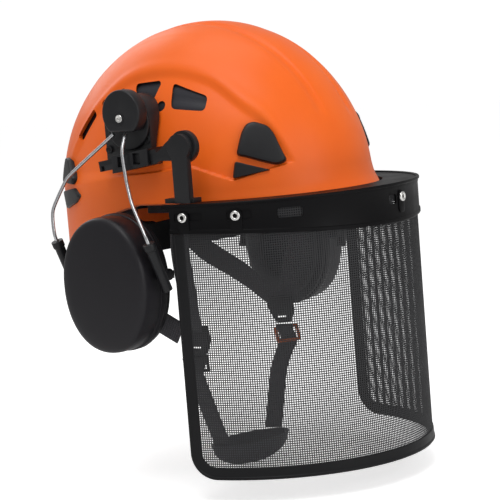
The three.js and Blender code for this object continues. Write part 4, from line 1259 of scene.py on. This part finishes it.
def build_knob():
    """The nape knob: a fluted grip on a shaft that carries the pinion."""
    segments = 168
    turns = np.linspace(0, 2 * math.pi, segments, endpoint=False)
    grip = 0.5 * np.cos(turns * 21)
    rings = []
    # Each row is (radius, y, how deep the flutes are).
    profile = (
        (3.5, 95.8, 0), (3.6, 96.0, 0), (3.6, 100.1, 0), (2.4, 100.3, 0), (2.4, 108.5, 0),
        (13.2, 108.6, 0), (14.2, 109.4, 1), (14.5, 111, 1), (14.5, 116.5, 1), (14.0, 118.3, 0.7),
        (12.4, 119, 0), (9.8, 118.6, 0), (9.2, 117.6, 0), (3.0, 117.4, 0), (1.0, 118.0, 0),
    )
    for radius, y, flute in profile:
        r = radius + grip * flute
        rings.append(np.stack([r * np.sin(turns), np.full(segments, y), -49 + r * np.cos(turns)], -1))
    loft("ratchet_knob_grip", rings, BLACK, "ratchet_knob", ("ratchet_knob",), "black_plastic", 32.0)


# ---------- camera, light and floor ----------

VIEW_AZIMUTH = math.radians(53.963)
VIEW_ELEVATION = math.radians(6.589)
VIEW_ROLL = math.radians(-4.643)
VIEW_DISTANCE = 1464.8
VIEW_SHIFT = (-5.25, -53.29)
LENS = 129.54
FLOOR_Z = -232.4
FLOOR_REACH = 6.0
FLOOR_LIFT = 0.58
WORLD_LIGHT = 0.45
BACKDROP_LIFT = 0.57


def build_camera():
    az, el = VIEW_AZIMUTH, VIEW_ELEVATION
    away = Vector((-math.sin(az) * math.cos(el), -math.cos(az) * math.cos(el), math.sin(el)))
    level = Vector((math.cos(az), -math.sin(az), 0))
    upward = level.cross(-away)
    right = level * math.cos(VIEW_ROLL) + upward * math.sin(VIEW_ROLL)
    up = upward * math.cos(VIEW_ROLL) - level * math.sin(VIEW_ROLL)
    target = level * VIEW_SHIFT[0] + Vector((0, VISOR_ARC_Y, VIEW_SHIFT[1]))
    place_at = (target + away * VIEW_DISTANCE) * MM
    data = bpy.data.cameras.new("camera")
    data.lens = LENS
    data.sensor_width = 36.0
    data.clip_start = 0.01
    camera = bpy.data.objects.new("camera", data)
    camera.matrix_world = Matrix((
        (right.x, up.x, away.x, place_at.x), (right.y, up.y, away.y, place_at.y),
        (right.z, up.z, away.z, place_at.z), (0, 0, 0, 1)))
    bpy.context.scene.collection.objects.link(camera)
    bpy.context.scene.camera = camera
    return right, up, away


def area_light(name, where, size, power, colour=(1, 1, 1)):
    data = bpy.data.lights.new(name, "AREA")
    data.shape = "DISK"
    data.size = size
    data.energy = power
    data.color = colour
    lamp = bpy.data.objects.new(name, data)
    lamp.location = where
    lamp.rotation_euler = (Vector((0, -0.03, -0.05)) - Vector(where)).to_track_quat("-Z", "Y").to_euler()
    bpy.context.scene.collection.objects.link(lamp)


def build_studio():
    right, up, away = build_camera()
    right, up, away = right.normalized(), up.normalized(), away.normalized()
    area_light("key", tuple(away * 1.0 - right * 0.25 + up * 1.25), 1.0, 9.5)
    area_light("fill", tuple(away * 1.2 + right * 1.1 + up * 0.35), 1.2, 6.0)
    area_light("top", (0.05, 0.1, 1.5), 1.1, 5.0)
    area_light("back", tuple(-away * 1.0 - right * 0.7 + up * 0.8), 0.9, 3.0)
    world = bpy.data.worlds.new("studio")
    world.use_nodes = True
    nodes, links = world.node_tree.nodes, world.node_tree.links
    # The backdrop is plain white; the light it sends onto the helmet is softer.
    seen = nodes.new("ShaderNodeLightPath")
    strength = math_node(
        nodes, links, "MULTIPLY_ADD", seen.outputs["Is Camera Ray"], BACKDROP_LIFT, WORLD_LIGHT)
    links.new(strength, nodes["Background"].inputs["Strength"])
    nodes["Background"].inputs["Color"].default_value = (1.0, 1.0, 1.0, 1.0)
    bpy.context.scene.world = world
    bpy.context.scene.view_settings.view_transform = "Standard"
    mesh = bpy.data.meshes.new("floor")
    corners = ((-1, -1), (1, -1), (1, 1), (-1, 1))
    mesh.from_pydata([(x * FLOOR_REACH, y * FLOOR_REACH, FLOOR_Z * MM) for x, y in corners], [], [(0, 1, 2, 3)])
    floor = bpy.data.objects.new("floor", mesh)
    bpy.context.scene.collection.objects.link(floor)
    material, floor_nodes, floor_links, shader = new_material("floor_white")
    shader.inputs["Base Color"].default_value = (0.93, 0.93, 0.93, 1)
    shader.inputs["Roughness"].default_value = 0.9
    # Lifts the floor to the backdrop's white where the camera sees it, keeping its soft shadow.
    floor_seen = floor_nodes.new("ShaderNodeLightPath")
    lift = math_node(
        floor_nodes, floor_links, "MULTIPLY", floor_seen.outputs["Is Camera Ray"], FLOOR_LIFT)
    floor_links.new(lift, shader.inputs["Emission Strength"])
    shader.inputs["Emission Color"].default_value = (1.0, 1.0, 1.0, 1.0)
    mesh.materials.append(material)


build_studio()
build_shell()
build_shade_sheet()
build_vent_panels()
build_clips()
build_brim()
build_eyelets()
build_trim()
build_mesh()
build_mechanism()
build_wires()
build_cups()
build_chin_straps()
build_chin_cup()
build_harness()
